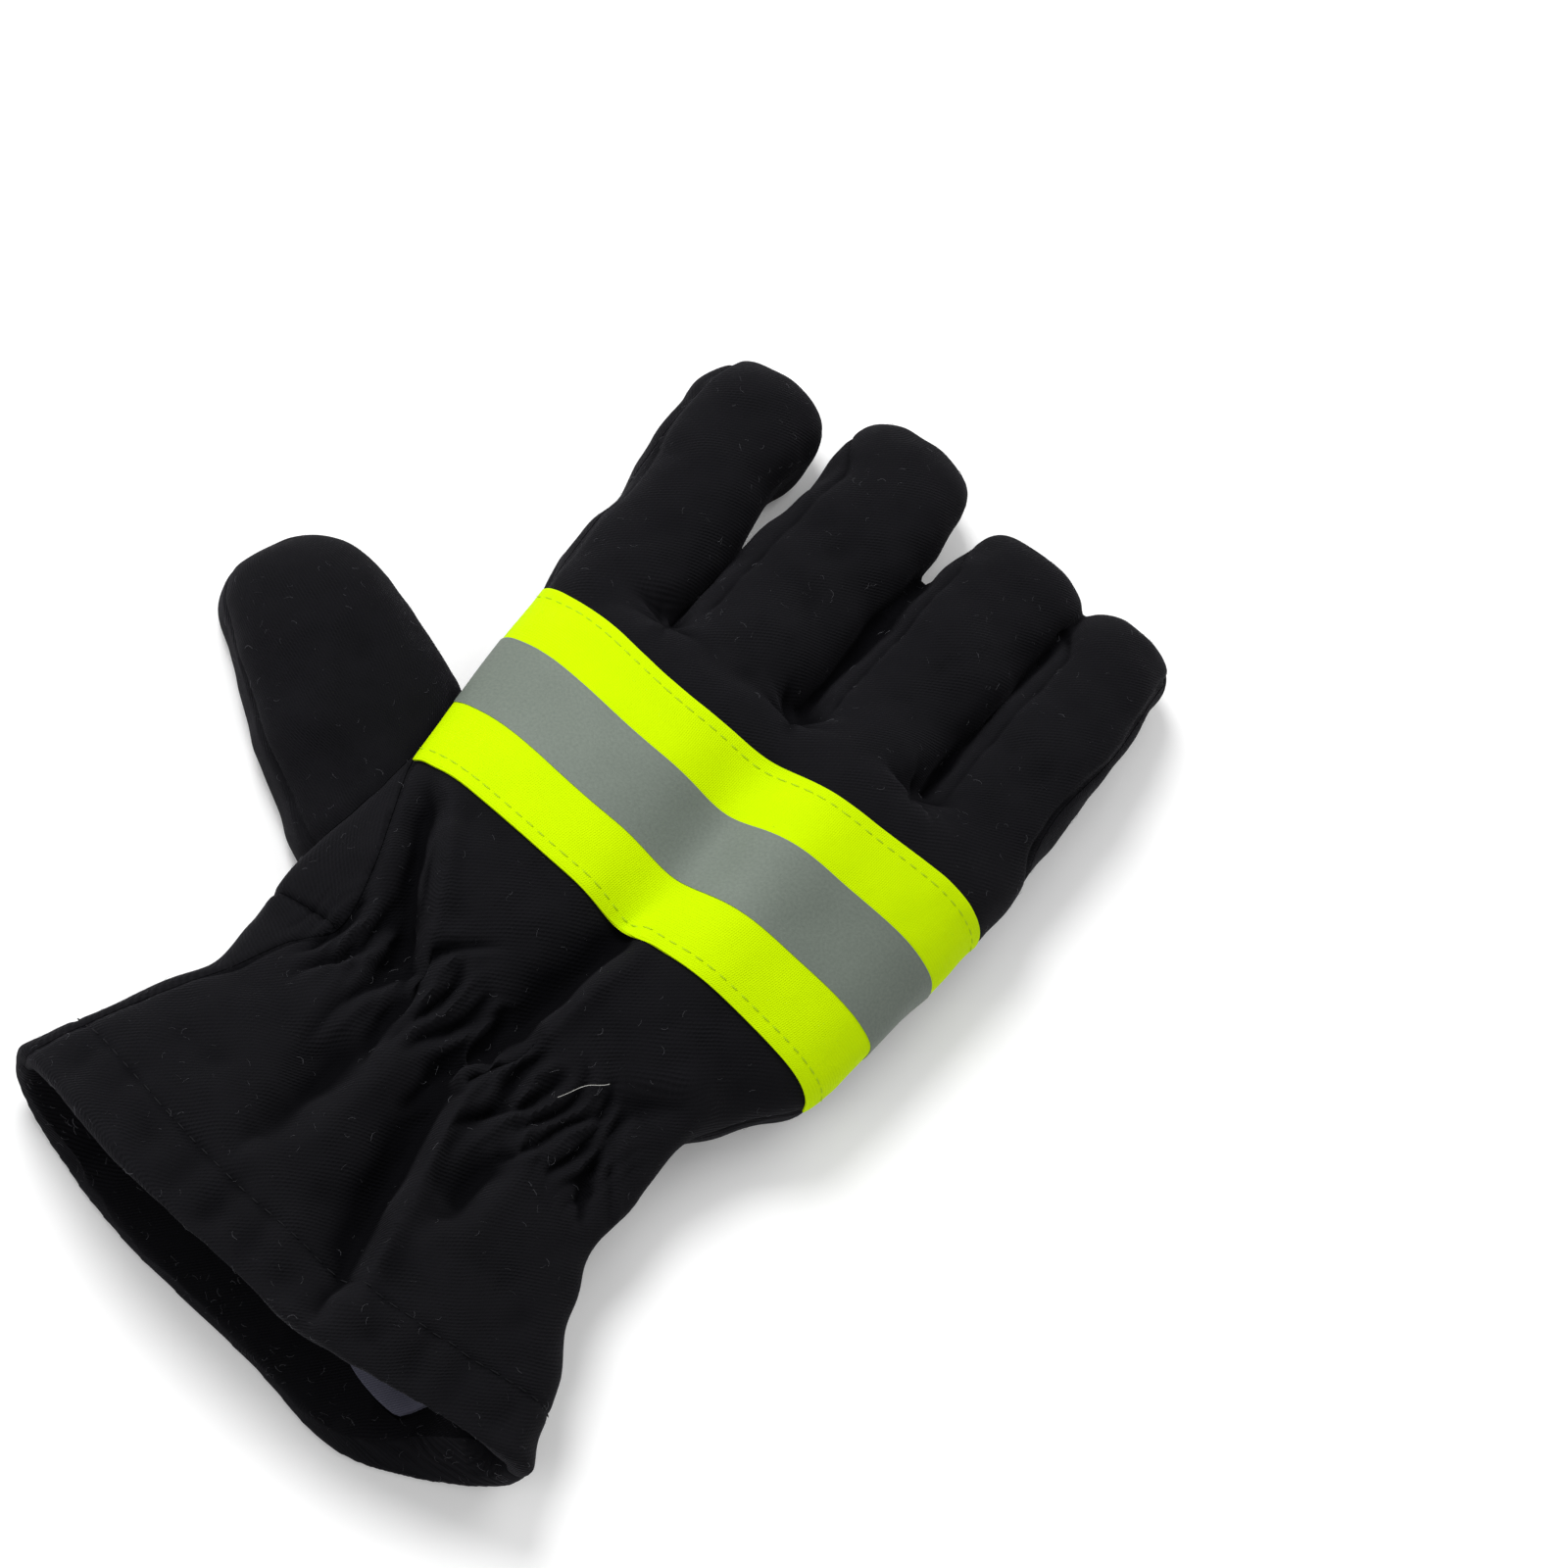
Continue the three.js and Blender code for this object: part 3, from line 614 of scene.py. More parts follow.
def insideBack(p):
    left, right = backLimits(p[:, 1])
    return np.minimum.reduce([p[:, 0] - left, right - p[:, 0], p[:, 2] - form["sideSeam"]])


# small relief of the cloth

# gathers at the elastic: place across, lean, reach towards the hand and the hem, width, depth
pleats = table("x lean up down width depth", [
    (-34.5, 0.30, 8, 11, 1.6, 1.5), (-29.0, 0.35, 11, 15, 1.7, 2.1), (-22.0, 0.12, 9, 23, 1.9, 2.1),
    (-16.3, -0.10, 14, 19, 1.8, 2.5), (-10.8, 0.15, 9, 15, 1.6, 2.2), (-4.9, 0.32, 8, 13, 1.7, 2.2),
    (1.2, 0.20, 8, 20, 1.8, 2.5), (6.2, 0.30, 9, 12, 1.5, 2.0), (10.8, 0.05, 7, 22, 1.7, 2.4),
    (15.4, 0.45, 6, 19, 1.5, 2.3), (19.6, 0.30, 10, 9, 1.3, 2.2), (23.6, 0.40, 6, 16, 1.3, 2.2),
    (27.6, 0.12, 11, 10, 1.3, 2.1), (31.2, -0.45, 10, 11, 1.5, 1.8), (35.2, -0.8, 9, 7, 1.6, 0.9),
])
pleatLook = {"reach": 1.15, "fadePower": 1.1, "hook": 0.05, "hookFrom": 2, "sway": 0.6, "swayRate": 0.33,
             "steep": 0.6, "gentle": 1.05, "ridge": 0.35, "ridgeAt": 2.4}
cordLook = {"pitch": 3.3, "depth": 0.85, "patchX": 5.3, "patchY": 3.1, "patchLean": 0.24, "middle": 1.5,
            "reach": 8.0, "reachMore": 3.0, "ends": (44, 34), "centre": 2, "lean": 0.22, "curve": 0.012,
            "sway": 0.9, "swayRate": 0.31, "swayX": 6.0, "uneven": 1.7, "unevenX": 6.1, "least": 0.75, "more": 0.25}
puckerLook = {"spokes": 5, "finer": 9, "finerShare": 0.5, "spokeDepth": 0.32}
# knots of tucks at the crotches of the fingers
puckers = table("x y size depth turn", [
    (-27.9, 97.6, 4.6, 1.8, 0.4), (4.3, 101.2, 4.6, 2.4, 1.3), (33.2, 104.5, 4.8, 2.0, 2.4),
])
seamLook = {"depth": 0.75, "width": 0.8, "tuckPitch": 6.1, "tuckShare": 0.08}
hemLook = {"stitchAt": 13.2, "depth": 0.32, "width": 0.9, "ripple": 0.25, "ripplePitch": 9.0,
           "rippleAt": 7, "rippleReach": 6, "edge": (-1.5, 0.5), "edgeCalm": 0.6}
cloudLook = {"sizes": [36.0, 18.0, 8.0], "depths": [0.62, 0.36, 0.10], "seed": 11, "waves": 14,
             "waveShare": 3.7, "tapeCalm": 0.8, "tapeAt": 62, "tapeReach": 28, "palmCalm": 0.7}


def clouds(p, sizes, depths, seed):   # soft unevenness made of crossing waves
    draw = np.random.default_rng(seed)
    total = np.zeros(len(p))
    for size, depth in zip(sizes, depths):
        for _ in range(cloudLook["waves"]):
            way = draw.normal(size=3)
            way *= (2 * math.pi / size) * draw.uniform(0.7, 1.3) / np.linalg.norm(way)
            total += depth / cloudLook["waveShare"] * np.sin(p @ way + draw.uniform(0, 2 * math.pi))
    return total


def pleatSink(x, y):
    look = pleatLook
    depth = np.zeros_like(x)
    for pleat in pleats:
        along = y - gatherLine(x)
        reach = look["reach"] * np.where(along > 0, pleat["up"], pleat["down"])
        fade = np.clip(1 - (along / reach) ** 2, 0, 1) ** look["fadePower"]
        hook = look["hook"] * np.maximum(along - look["hookFrom"], 0) ** 2 * np.sign(pleat["lean"])
        across = (x - pleat["x"] - pleat["lean"] * along + hook
                  - look["sway"] * np.sin(along * look["swayRate"] + pleat["x"]))
        width = pleat["width"] * np.where(across > 0, look["steep"], look["gentle"])
        ridge = look["ridge"] * np.exp(-((across - look["ridgeAt"] * width) / width) ** 2)
        depth += fade * pleat["depth"] * (np.exp(-(across / width) ** 2) - ridge)
    return depth


def cordSink(x, y):   # fine cords between the gathers
    look = cordLook
    along = y - gatherLine(x)
    patch = np.sin(x / look["patchX"] + 1.0) * np.sin(x / look["patchY"] + look["patchLean"] * along)
    fade = np.exp(-((along + look["middle"]) / (look["reach"] + look["reachMore"] * patch)) ** 2)
    fade = fade * smoothStep(np.abs(x + look["centre"]), *look["ends"])
    across = (x - look["lean"] * along - look["curve"] * along ** 2
              + look["sway"] * np.sin(look["swayRate"] * along + x / look["swayX"]))
    wave = np.sin(2 * math.pi * across / look["pitch"] + look["uneven"] * np.sin(across / look["unevenX"]))
    return look["depth"] * fade * (look["least"] + look["more"] * patch) * (0.5 + 0.5 * wave) ** 2


def puckerSink(x, y):
    look = puckerLook
    depth = np.zeros_like(x)
    for knot in puckers:
        dx, dy = x - knot["x"], y - knot["y"]
        away = np.hypot(dx, dy)
        angle = np.arctan2(dy, dx)
        spokes = (np.cos(look["spokes"] * angle + knot["turn"])
                  + look["finerShare"] * np.cos(look["finer"] * angle))
        depth += knot["depth"] * np.exp(-(away / knot["size"]) ** 2)
        depth += look["spokeDepth"] * spokes * np.exp(-((away - knot["size"]) / knot["size"]) ** 2)
    return depth


def seamSink(distance, along):
    tucks = 1 + seamLook["tuckShare"] * np.sin(2 * math.pi * along / seamLook["tuckPitch"])
    return seamLook["depth"] * tucks * np.exp(-(distance / seamLook["width"]) ** 2)


def hemDistance(p):   # from the hem's edge, along the cuff
    hem = sleeveRows[0]
    middle, half = (hem["left"] + hem["right"]) / 2, (hem["right"] - hem["left"]) / 2
    edge = 1 - np.minimum(np.abs(p[:, 0] / form["palmHalf"] - middle) / half, 1) ** 2
    return p[:, 1] + form["cuffLength"] + form["hemBow"] * edge


def handSink(p, n):   # how far each point of the hand's surface sinks along its normal
    back = smoothStep(n[:, 2], 0.05, 0.5)
    under = smoothStep(-n[:, 2], 0.3, 0.8)
    depth = back * (pleatSink(p[:, 0], p[:, 1]) + cordSink(p[:, 0], p[:, 1]) + puckerSink(p[:, 0], p[:, 1]))
    inBack, inStrip = insideBack(p), insideStrip(p)
    depth += seamSink(inBack, p[:, 1]) * (inStrip < -1)
    depth += flankSink(p)
    crossing = p[:, 1] - form["crossSeam"] * form["palmLength"]
    depth += seamSink(crossing, p[:, 0]) * (inBack < 0)
    hem = hemDistance(p)
    depth += hemLook["depth"] * np.exp(-((hem - hemLook["stitchAt"]) / hemLook["width"]) ** 2)
    ripple = (np.sin(2 * math.pi * p[:, 0] / hemLook["ripplePitch"])
              * np.exp(-((hem - hemLook["rippleAt"]) / hemLook["rippleReach"]) ** 2))
    depth += hemLook["ripple"] * ripple * back
    look = cloudLook
    nearTape = np.exp(-((p[:, 1] - look["tapeAt"]) / look["tapeReach"]) ** 6)
    calm = 1 - look["tapeCalm"] * nearTape * back
    depth += clouds(p, look["sizes"], look["depths"], look["seed"]) * calm * (1 - look["palmCalm"] * under)
    return depth * (1 - hemLook["edgeCalm"] * smoothStep(-hem, *hemLook["edge"]))


def thumbPlace(p):   # along and across the thumb, from its root
    angle = math.radians(form["thumbAngle"])
    dx = p[:, 0] - form["thumbX"] * form["palmHalf"]
    dy = p[:, 1] - form["thumbY"] * form["palmLength"]
    return dx * math.cos(angle) + dy * math.sin(angle), dx * math.sin(angle) - dy * math.cos(angle)


points, normals = pointsOf(handOuter), normalsOf(handOuter)
points -= normals * handSink(points, normals)[:, None]
settle(handOuter, points)

handTree = treeOf(points, handOuter)
touchLook = {"reach": 6.0, "width": 1.8, "depth": 0.5}   # the dent where the thumb meets the hand
points, normals = pointsOf(thumbOuter), normalsOf(thumbOuter)
along, across = thumbPlace(points)
sink = seamSink(points[:, 2] - form["thumbThickness"] * 0.5, along)
sink += clouds(points, cloudLook["sizes"], cloudLook["depths"], cloudLook["seed"] + 1)
touch = np.array([handTree.find_nearest(Vector(p), touchLook["reach"])[3] or touchLook["reach"] for p in points])
sink += touchLook["depth"] * np.exp(-(touch / touchLook["width"]) ** 2)
points -= normals * sink[:, None]
settle(thumbOuter, points)
report("small relief")

# the hollow, and the cloth cut along its seams


def hollowInset(stop):
    depth = (stop + 1) * form["cuffLength"]
    full = form["cloth"] + form["facing"]
    if depth <= 0:
        return full - hemRound
    if depth < hemRound:
        return full - hemRound + math.sqrt(hemRound ** 2 - (hemRound - depth) ** 2)
    return full if depth < form["hemDepth"] else form["cloth"]


turnedIn = -1 + (form["hemDepth"] + np.array([-0.3, 0.0, 0.3])) / form["cuffLength"]   # the facing's inner edge
hollowStops = np.concatenate([[-1.12, -1.05], hemStops, [-0.9], turnedIn, np.linspace(-0.7, 0.95, 60),
                              [0.98, 1.0, 1.02]])


facing = {"dip": 8.0, "dipAt": 34.0, "dipLeft": 30.0, "dipRight": 7.0, "dipFrom": (5, 12), "dipTo": (16, 26),
          "puff": 8.0, "puffAt": 46.0, "puffWidth": 7.0, "puffFrom": (0.5, 6), "puffTo": (16, 40),
          "below": (1, 7)}


def facingDip(ring, stop):   # the facing is shallower, and puffs up, on the palm side near the little finger
    ring = ring.copy()
    depth = (stop + 1) * form["cuffLength"]
    low = smoothStep(form["sideSeam"] - ring[:, 2], *facing["below"])
    beside = ring[:, 0] - facing["dipAt"]
    here = np.maximum(1 - np.abs(beside) / np.where(beside < 0, facing["dipLeft"], facing["dipRight"]), 0) * low
    ring[:, 1] -= (facing["dip"] * here * smoothStep(depth, *facing["dipFrom"])
                   * (1 - smoothStep(depth, *facing["dipTo"])))
    puff = np.exp(-((ring[:, 0] - facing["puffAt"]) / facing["puffWidth"]) ** 2) * low
    ring[:, 2] += (facing["puff"] * puff * smoothStep(depth, *facing["puffFrom"])
                   * (1 - smoothStep(depth, *facing["puffTo"])))
    return ring


room = {"over": (2, 8), "gather": 1.5, "gatherAt": 2, "gatherReach": 16, "wall": 3.4, "knot": 3.0,
        "knotReach": 9}


def roomUnder(ring):   # thicker cloth where the gathers and the tucks are deep
    ring = ring.copy()
    over = smoothStep(ring[:, 2] - form["sideSeam"], *room["over"])
    away = ring[:, 1] - gatherLine(ring[:, 0]) + room["gatherAt"]
    depth = room["gather"] * np.exp(-(away / room["gatherReach"]) ** 2)
    here = foldSink(ring[:, 0], ring[:, 1])
    near = [foldSink(ring[:, 0] + room["wall"] * math.cos(turn), ring[:, 1] + room["wall"] * math.sin(turn))
            for turn in np.linspace(0, 2 * math.pi, 9)[1:]]
    depth += np.maximum(np.max(near, axis=0) - here, 0)
    for knot in puckers:
        away = np.hypot(ring[:, 0] - knot["x"], ring[:, 1] - knot["y"])
        depth += room["knot"] * np.exp(-(away / room["knotReach"]) ** 2)
    ring[:, 2] -= depth * over
    return ring


hollow = loft([roomUnder(facingDip(sleeveRing(s, hollowInset(s), detail["hollowOver"], detail["hollowUnder"]), s))
               for s in hollowStops])
handHollow = meshObject("handHollow", *hollow)
tubeDetail = form["cloth"], detail["tubeOver"], detail["tubeUnder"], detail["tubeStops"]
for finger in fingers:
    tool = meshObject("tube", *loft(fingerRings(finger, *tubeDetail)))
    cut(handHollow, tool, "UNION")
    discard(tool)
thumbHollow = meshObject("thumbHollow", *loft(thumbRings(*tubeDetail)))
handShell = cut(cut(copyOf(handOuter, "handShell"), handHollow, "DIFFERENCE"), thumbHollow, "DIFFERENCE")
report("hollow")

gap = form["seamGap"]
strips = {}
stripCut = None
for name, left, right in stripPairs:
    for distance in (0, gap):
        body = meshObject("strip", *boxLoft(stripRows(left, right, False, distance)))
        other = meshObject("strip", *boxLoft(stripRows(left, right, True, distance)))
        cut(body, other, "UNION")
        discard(other)
        if distance == 0:
            strips[name] = cut(copyOf(handShell, f"strip_{name}"), body, "INTERSECT")
            discard(body)
        elif stripCut is None:
            stripCut = body
        else:
            cut(stripCut, body, "UNION")
            discard(body)


def halfSpace(y0, y1, z0, far):   # a block that reaches past the glove on its other sides
    return meshObject("block", *boxLoft([(y, -far, far, z0, far) for y in (y0, y1)]))


wristAt, thumbSeam = form["crossSeam"] * form["palmLength"], form["thumbThickness"] * 0.5
far, thumbFar = 200, 300
backTool, backWide = (meshObject("block", *backBody(space)) for space in (0, gap))
wristTool, wristWide = (halfSpace(-far, wristAt + space, -far, far) for space in (0, gap))
thumbTool, thumbWide = (halfSpace(-thumbFar, thumbFar, thumbSeam + space, thumbFar) for space in (0, gap))
backCloth = cut(cut(copyOf(handShell, "back_cloth"), backTool, "INTERSECT"), stripCut, "DIFFERENCE")
underside = cut(cut(copyOf(handShell, "underside"), backWide, "DIFFERENCE"), stripCut, "DIFFERENCE")
cuffCloth = cut(copyOf(underside, "cuff_cloth"), wristTool, "INTERSECT")
palmCloth = cut(copyOf(underside, "palm_cloth"), wristWide, "DIFFERENCE")

grownHand = copyOf(handOuter, "grownHand")
movePoints(grownHand, pointsOf(grownHand) + normalsOf(grownHand) * gap)
thumbShell = cut(cut(copyOf(thumbOuter, "thumbShell"), thumbHollow, "DIFFERENCE"), grownHand, "DIFFERENCE")
thumbTop = cut(copyOf(thumbShell, "thumb_top"), thumbWide, "INTERSECT")
thumbUnder = cut(copyOf(thumbShell, "thumb_under"), thumbTool, "DIFFERENCE")
panels = {"back_cloth": backCloth, "palm_cloth": palmCloth, "cuff_cloth": cuffCloth,
          "thumb_top": thumbTop, "thumb_under": thumbUnder, **{f"strip_{k}": v for k, v in strips.items()}}
discard(handShell, underside, stripCut, backTool, backWide, wristTool, wristWide, grownHand, thumbShell,
        thumbTool, thumbWide, handHollow, thumbHollow)


def countOf(piece):
    return f"{piece.name}: {sum(len(f.vertices) - 2 for f in piece.data.polygons)} triangles"


for piece in panels.values():
    mainBody(piece)
    print("   ", countOf(piece))
report("panels cut")

# lining inside the mouth

lining = {"from": 14.4, "to": 0.62, "inset": 3.25, "thick": 0.8, "rings": 110, "over": 150, "under": 90,
          "sizes": [26.0, 13.0, 7.0], "depths": [0.9, 0.55, 0.25], "seed": 5,
          "foldAt": 37.0, "foldWidth": 2.6, "foldDepth": 2.2, "foldReach": 16.0}


def gridFaces(rows, columns, closed):
    r, i = np.meshgrid(np.arange(rows - 1), np.arange(columns if closed else columns - 1), indexing="ij")
    j = (i + 1) % columns
    quads = np.stack([r * columns + i, r * columns + j, (r + 1) * columns + j, (r + 1) * columns + i], -1)
    return quads.reshape(-1, 4).tolist()


def thicken(piece, thick, offset):   # offset 1 grows along the normals, -1 against them
    modifier = piece.modifiers.new("thickness", "SOLIDIFY")
    modifier.thickness = thick * mm
    modifier.offset = offset
    modifier.use_even_offset = False
    return applied(piece)


def makeLining():
    stops = np.linspace(-1 + lining["from"] / form["cuffLength"], lining["to"], lining["rings"])
    rings = np.array([roomUnder(facingDip(sleeveRing(s, lining["inset"], lining["over"], lining["under"]), s))
                      for s in stops])
    points = rings.reshape(-1, 3)
    middle = np.repeat(rings.mean(1), rings.shape[1], 0)
    inward = middle - points
    inward[:, 1] = 0
    inward /= np.linalg.norm(inward, axis=1)[:, None]
    slack = clouds(points, lining["sizes"], lining["depths"], lining["seed"])
    near = np.exp(-((points[:, 1] + form["cuffLength"] - lining["from"]) / lining["foldReach"]) ** 2)
    bulge = np.exp(-((points[:, 0] - lining["foldAt"]) / lining["foldWidth"]) ** 2) * near
    low = points[:, 2] < form["sideSeam"]
    points = points + inward * (np.maximum(slack + 0.9, 0) + lining["foldDepth"] * bulge * low)[:, None]
    piece = meshObject("lining_cloth", points, gridFaces(len(stops), rings.shape[1], True))
    return thicken(piece, lining["thick"], 1 if normalsInward(piece) else -1)


def normalsInward(piece):
    points, normals = pointsOf(piece), normalsOf(piece)
    inward = points.mean(0) - points
    return (normals * inward)[:, [0, 2]].sum() > 0


liningCloth = makeLining()
report("lining")

# reflective tape across the back

tape = {"width": 50.0, "start": 39.6, "bow": 4.2, "slant": 0.01, "endLeft": 20.5, "endRight": 14.0,
        "thick": 0.45, "gap": 0.25, "stations": 190, "rowsOut": 34, "rowsStripe": 28, "tries": 4,
        "relax": 10, "relaxLast": 2, "relaxShare": 0.7, "edgeShare": 0.6, "edgeRounds": 4,
        "endLift": 0.4, "endReach": (3, 14), "leftAt": (0.15, 0.8), "rightAt": (0.4, 1.0),
        "leftLift": 2.0, "rightLift": 0.6, "rightSpread": 1.8, "dip": 3.4, "dipAt": -15.0, "dipWidth": 24.0}
stripe = {"width": 19.0, "thick": 0.16, "gap": 0.03}


def tapeTurns(y, end, leftSide):   # the place round the hand where the tape's end lies at a height
    turns = np.linspace(0.5, 1.0, 400) if leftSide else np.linspace(0.5, 0.0, 400)
    ring = sleevePoints(np.full(400, y / form["palmLength"]), 0, turns, np.ones(400, bool))
    return float(turns[np.argmax(ring[:, 2] < end)])


def tapeGrid():
    half, inner = tape["width"] / 2, stripe["width"] / 2
    out = np.linspace(inner, half, tape["rowsOut"])
    offsets = np.concatenate([-out[::-1], np.linspace(-inner, inner, tape["rowsStripe"])[1:-1], out])
    rows = []
    for offset in offsets:
        centre = tape["start"] + half - tape["bow"] * 0.5 + offset
        left, right = tapeTurns(centre, tape["endLeft"], True), tapeTurns(centre, tape["endRight"], False)
        turns = np.linspace(right, left, tape["stations"])
        stop = np.full_like(turns, centre / form["palmLength"])
        for _ in range(tape["tries"]):   # the stop at which each station lies on the tape's line
            p = sleevePoints(stop, 0, turns, np.ones(len(turns), bool))
            across = p[:, 0] / form["palmHalf"]
            y = tape["start"] + half - tape["bow"] * (1 - across ** 2) + tape["slant"] * p[:, 0] + offset
            y += tape["leftLift"] * smoothStep(-across, *tape["leftAt"])
            y -= tape["dip"] * (1 + offset / half) / 2 * np.exp(-((p[:, 0] - tape["dipAt"]) / tape["dipWidth"]) ** 2)
            y += (tape["rightLift"] + tape["rightSpread"] * offset / half) * smoothStep(across, *tape["rightAt"])
            stop += (y - p[:, 1]) / form["palmLength"]
        rows.append(p)
    return offsets, np.array(rows)


def layOn(points, tree, gap):   # moves points to lie just outside a surface
    placed, normals = np.empty_like(points), np.empty_like(points)
    for k, p in enumerate(points):
        placed[k], normals[k], _, _ = tree.find_nearest(Vector(p))
    return placed + normals * gap


def gridRelax(grid, rounds):   # the tape is stiffer than the cloth under it
    for _ in range(rounds):
        inner = (grid[1:-1, :-2] + grid[1:-1, 2:] + grid[:-2, 1:-1] + grid[2:, 1:-1]) / 4
        grid[1:-1, 1:-1] += tape["relaxShare"] * (inner - grid[1:-1, 1:-1])
        for edge in (0, -1):
            for _ in range(tape["edgeRounds"]):
                line = (grid[edge, :-2] + grid[edge, 2:]) / 2
                grid[edge, 1:-1] += tape["edgeShare"] * (line - grid[edge, 1:-1])
                line = (grid[:-2, edge] + grid[2:, edge]) / 2
                grid[1:-1, edge] += tape["edgeShare"] * (line - grid[1:-1, edge])
    return grid


def clearOf(points, tree, gap):   # pushes out what has sunk into the surface
    for k, p in enumerate(points):
        spot, normal, _, _ = tree.find_nearest(Vector(p))
        height = (Vector(p) - spot).dot(normal)
        if height < gap:
            points[k] += np.array(normal) * (gap - height)
    return points


def gridNormals(grid):
    dr = np.gradient(grid, axis=0)
    dc = np.gradient(grid, axis=1)
    n = np.cross(dr, dc)
    n /= np.linalg.norm(n, axis=-1)[..., None]
    return n if n[..., 2].sum() > 0 else -n


handTree = treeOf(pointsOf(handOuter), handOuter)
tapeOffsets, tapeBase = tapeGrid()
shape = tapeBase.shape
laid = layOn(tapeBase.reshape(-1, 3), handTree, tape["gap"])
laid = gridRelax(laid.reshape(shape), tape["relax"])
laid = clearOf(laid.reshape(-1, 3), handTree, tape["gap"]).reshape(shape)
laid = gridRelax(laid, tape["relaxLast"])
tapeUp = gridNormals(laid)
toEnd = np.minimum(np.arange(shape[1]), np.arange(shape[1])[::-1])   # stations from the nearer end
laid = laid + tapeUp * (tape["endLift"] * (1 - smoothStep(toEnd, *tape["endReach"])))[:, None]


def orientedUp(piece):
    if normalsOf(piece)[:, 2].sum() < 0:
        piece.data.flip_normals()
    return piece


def gridPiece(name, grid, thick):
    piece = meshObject(name, grid.reshape(-1, 3), gridFaces(grid.shape[0], grid.shape[1], False))
    return thicken(orientedUp(piece), thick, 1)


tapeLength = np.linalg.norm(np.diff(laid, axis=1), axis=2)
tapeAlong = np.concatenate([np.zeros((shape[0], 1)), np.cumsum(tapeLength, axis=1)], 1)
tapeCloth = gridPiece("tape_cloth", laid, tape["thick"])
onStripe = np.abs(tapeOffsets) <= stripe["width"] / 2 + 1e-6
stripeGrid = (laid + tapeUp * (tape["thick"] + stripe["gap"]))[onStripe]
stripeFilm = gridPiece("stripe_film", stripeGrid, stripe["thick"])
report(f"tape, {tapeAlong[:, -1].mean():.0f} mm long")

# painted shading for the cloth: painted shade where the cloth lies in a crease (above 0), painted highlight where it
# lies on a ridge (below 0)


paintedShadingLook = {"share": 0.8, "rounds": 26, "hand": 0.75, "thumb": 0.9, "broad": 1.4, "broadDepth": 4.6,
              "broadPower": 1.3, "upward": (0.0, 0.4)}


def paintedShadingTable(piece, depth, broad):
    look = paintedShadingLook
    points, normals, edges = pointsOf(piece), normalsOf(piece), edgesOf(piece)
    smooth = relaxed(points, edges, look["share"], look["rounds"])
    paintedShading = ((smooth - points) * normals).sum(1) / depth
    # painted shade along the main folds, on faces that look up
    if broad:
        fold = foldSink(points[:, 0], points[:, 1]) - form["gatherPinch"]
        paintedShading += (look["broad"] * np.clip(fold / look["broadDepth"], 0, 1) ** look["broadPower"]
                   * smoothStep(normals[:, 2], *look["upward"]))
    paintedShading = np.clip(paintedShading, -1, 1)
    tree = KDTree(len(points))
    for k, p in enumerate(points):
        tree.insert(p, k)
    tree.balance()
    return tree, paintedShading


paintedShadings = {"hand": paintedShadingTable(handOuter, paintedShadingLook["hand"], True),
           "thumb": paintedShadingTable(thumbOuter, paintedShadingLook["thumb"], False)}


def setPaintedShading(piece, source):
    tree, paintedShading = source
    setValues(piece, "paintedShading", "FLOAT", np.array([paintedShading[tree.find(p)[1]] for p in pointsOf(piece)]))


# cloth coordinates, in metres along and across each piece


def arcTable(half, top, seam):   # length round a ring from its bottom, by the angle there
    turn, upper = ringTurns(600, 600)
    across, height, _, _ = softPoints(half, top, seam, 0, turn, upper)
    spot = np.stack([across / half, np.where(height > seam, (height - seam) / (top - seam),
                                             (height - seam) / seam)], 1)
    angle = np.arctan2(np.abs(spot[:, 0]), -spot[:, 1])
    keep = across >= 0
    order = np.argsort(angle[keep])
    ring = np.stack([across, height], 1)[keep][order]
    length = np.concatenate([[0], np.cumsum(np.linalg.norm(np.diff(ring, axis=0), axis=1))])
    return angle[keep][order], length, half


handArc = arcTable(56.0, 34.0, 13.0)
fingerArc = arcTable(14.0, 25.0, 12.0)


def roundPlace(p, middle, half, top, seam, table, fromTop):
    up = np.where(p[:, 2] > seam, (p[:, 2] - seam) / (top - seam), (p[:, 2] - seam) / seam)
    angle = np.arctan2(np.abs(p[:, 0] - middle) / half, -up)
    length = np.interp(angle, table[0], table[1]) * half / table[2]
    if fromTop:
        length = table[1][-1] * half / table[2] - length
    return middle + np.sign(p[:, 0] - middle) * length


def handPlace(p, fromTop):
    if fromTop:   # as if the folds weren't there, so that the weave runs on over them
        p = p.copy()
        sunk = foldSink(p[:, 0], p[:, 1]) + pleatSink(p[:, 0], p[:, 1])
        p[:, 2] += sunk * smoothStep(p[:, 2], form["sideSeam"], form["sideSeam"] + 6)
    along = np.clip(yToAlong(p[:, 1]), -1, 0.9)
    left, right, top = rowAt(along)
    seam = np.minimum(form["sideSeam"], top * form["seamShare"])
    onHand = roundPlace(p, (left + right) / 2, (right - left) / 2, top, seam, handArc, fromTop)
    best, onFinger = np.full(len(p), 1e9), onHand.copy()
    for finger in fingers:
        share = np.clip((p[:, 1] - float(fingerAt(finger, 0)["y"])) / finger["reach"], 0, 1)
        at = fingerAt(finger, share)
        width = (finger["rightRoot"] - finger["leftRoot"]) / 2 * form["palmHalf"]
        place = roundPlace(p, at["x"], np.full(len(p), width), at["top"], at["top"] * form["fingerSeam"],
                           fingerArc, fromTop)
        away = np.abs(p[:, 0] - at["x"])
        onFinger = np.where(away < best, place, onFinger)
        best = np.minimum(best, away)
    root = form["fingerRoot"] * form["palmLength"] + form["knuckleSlant"] * p[:, 0]
    blend = smoothStep(p[:, 1] - root, 2, 26)
    return onHand * (1 - blend) + onFinger * blend


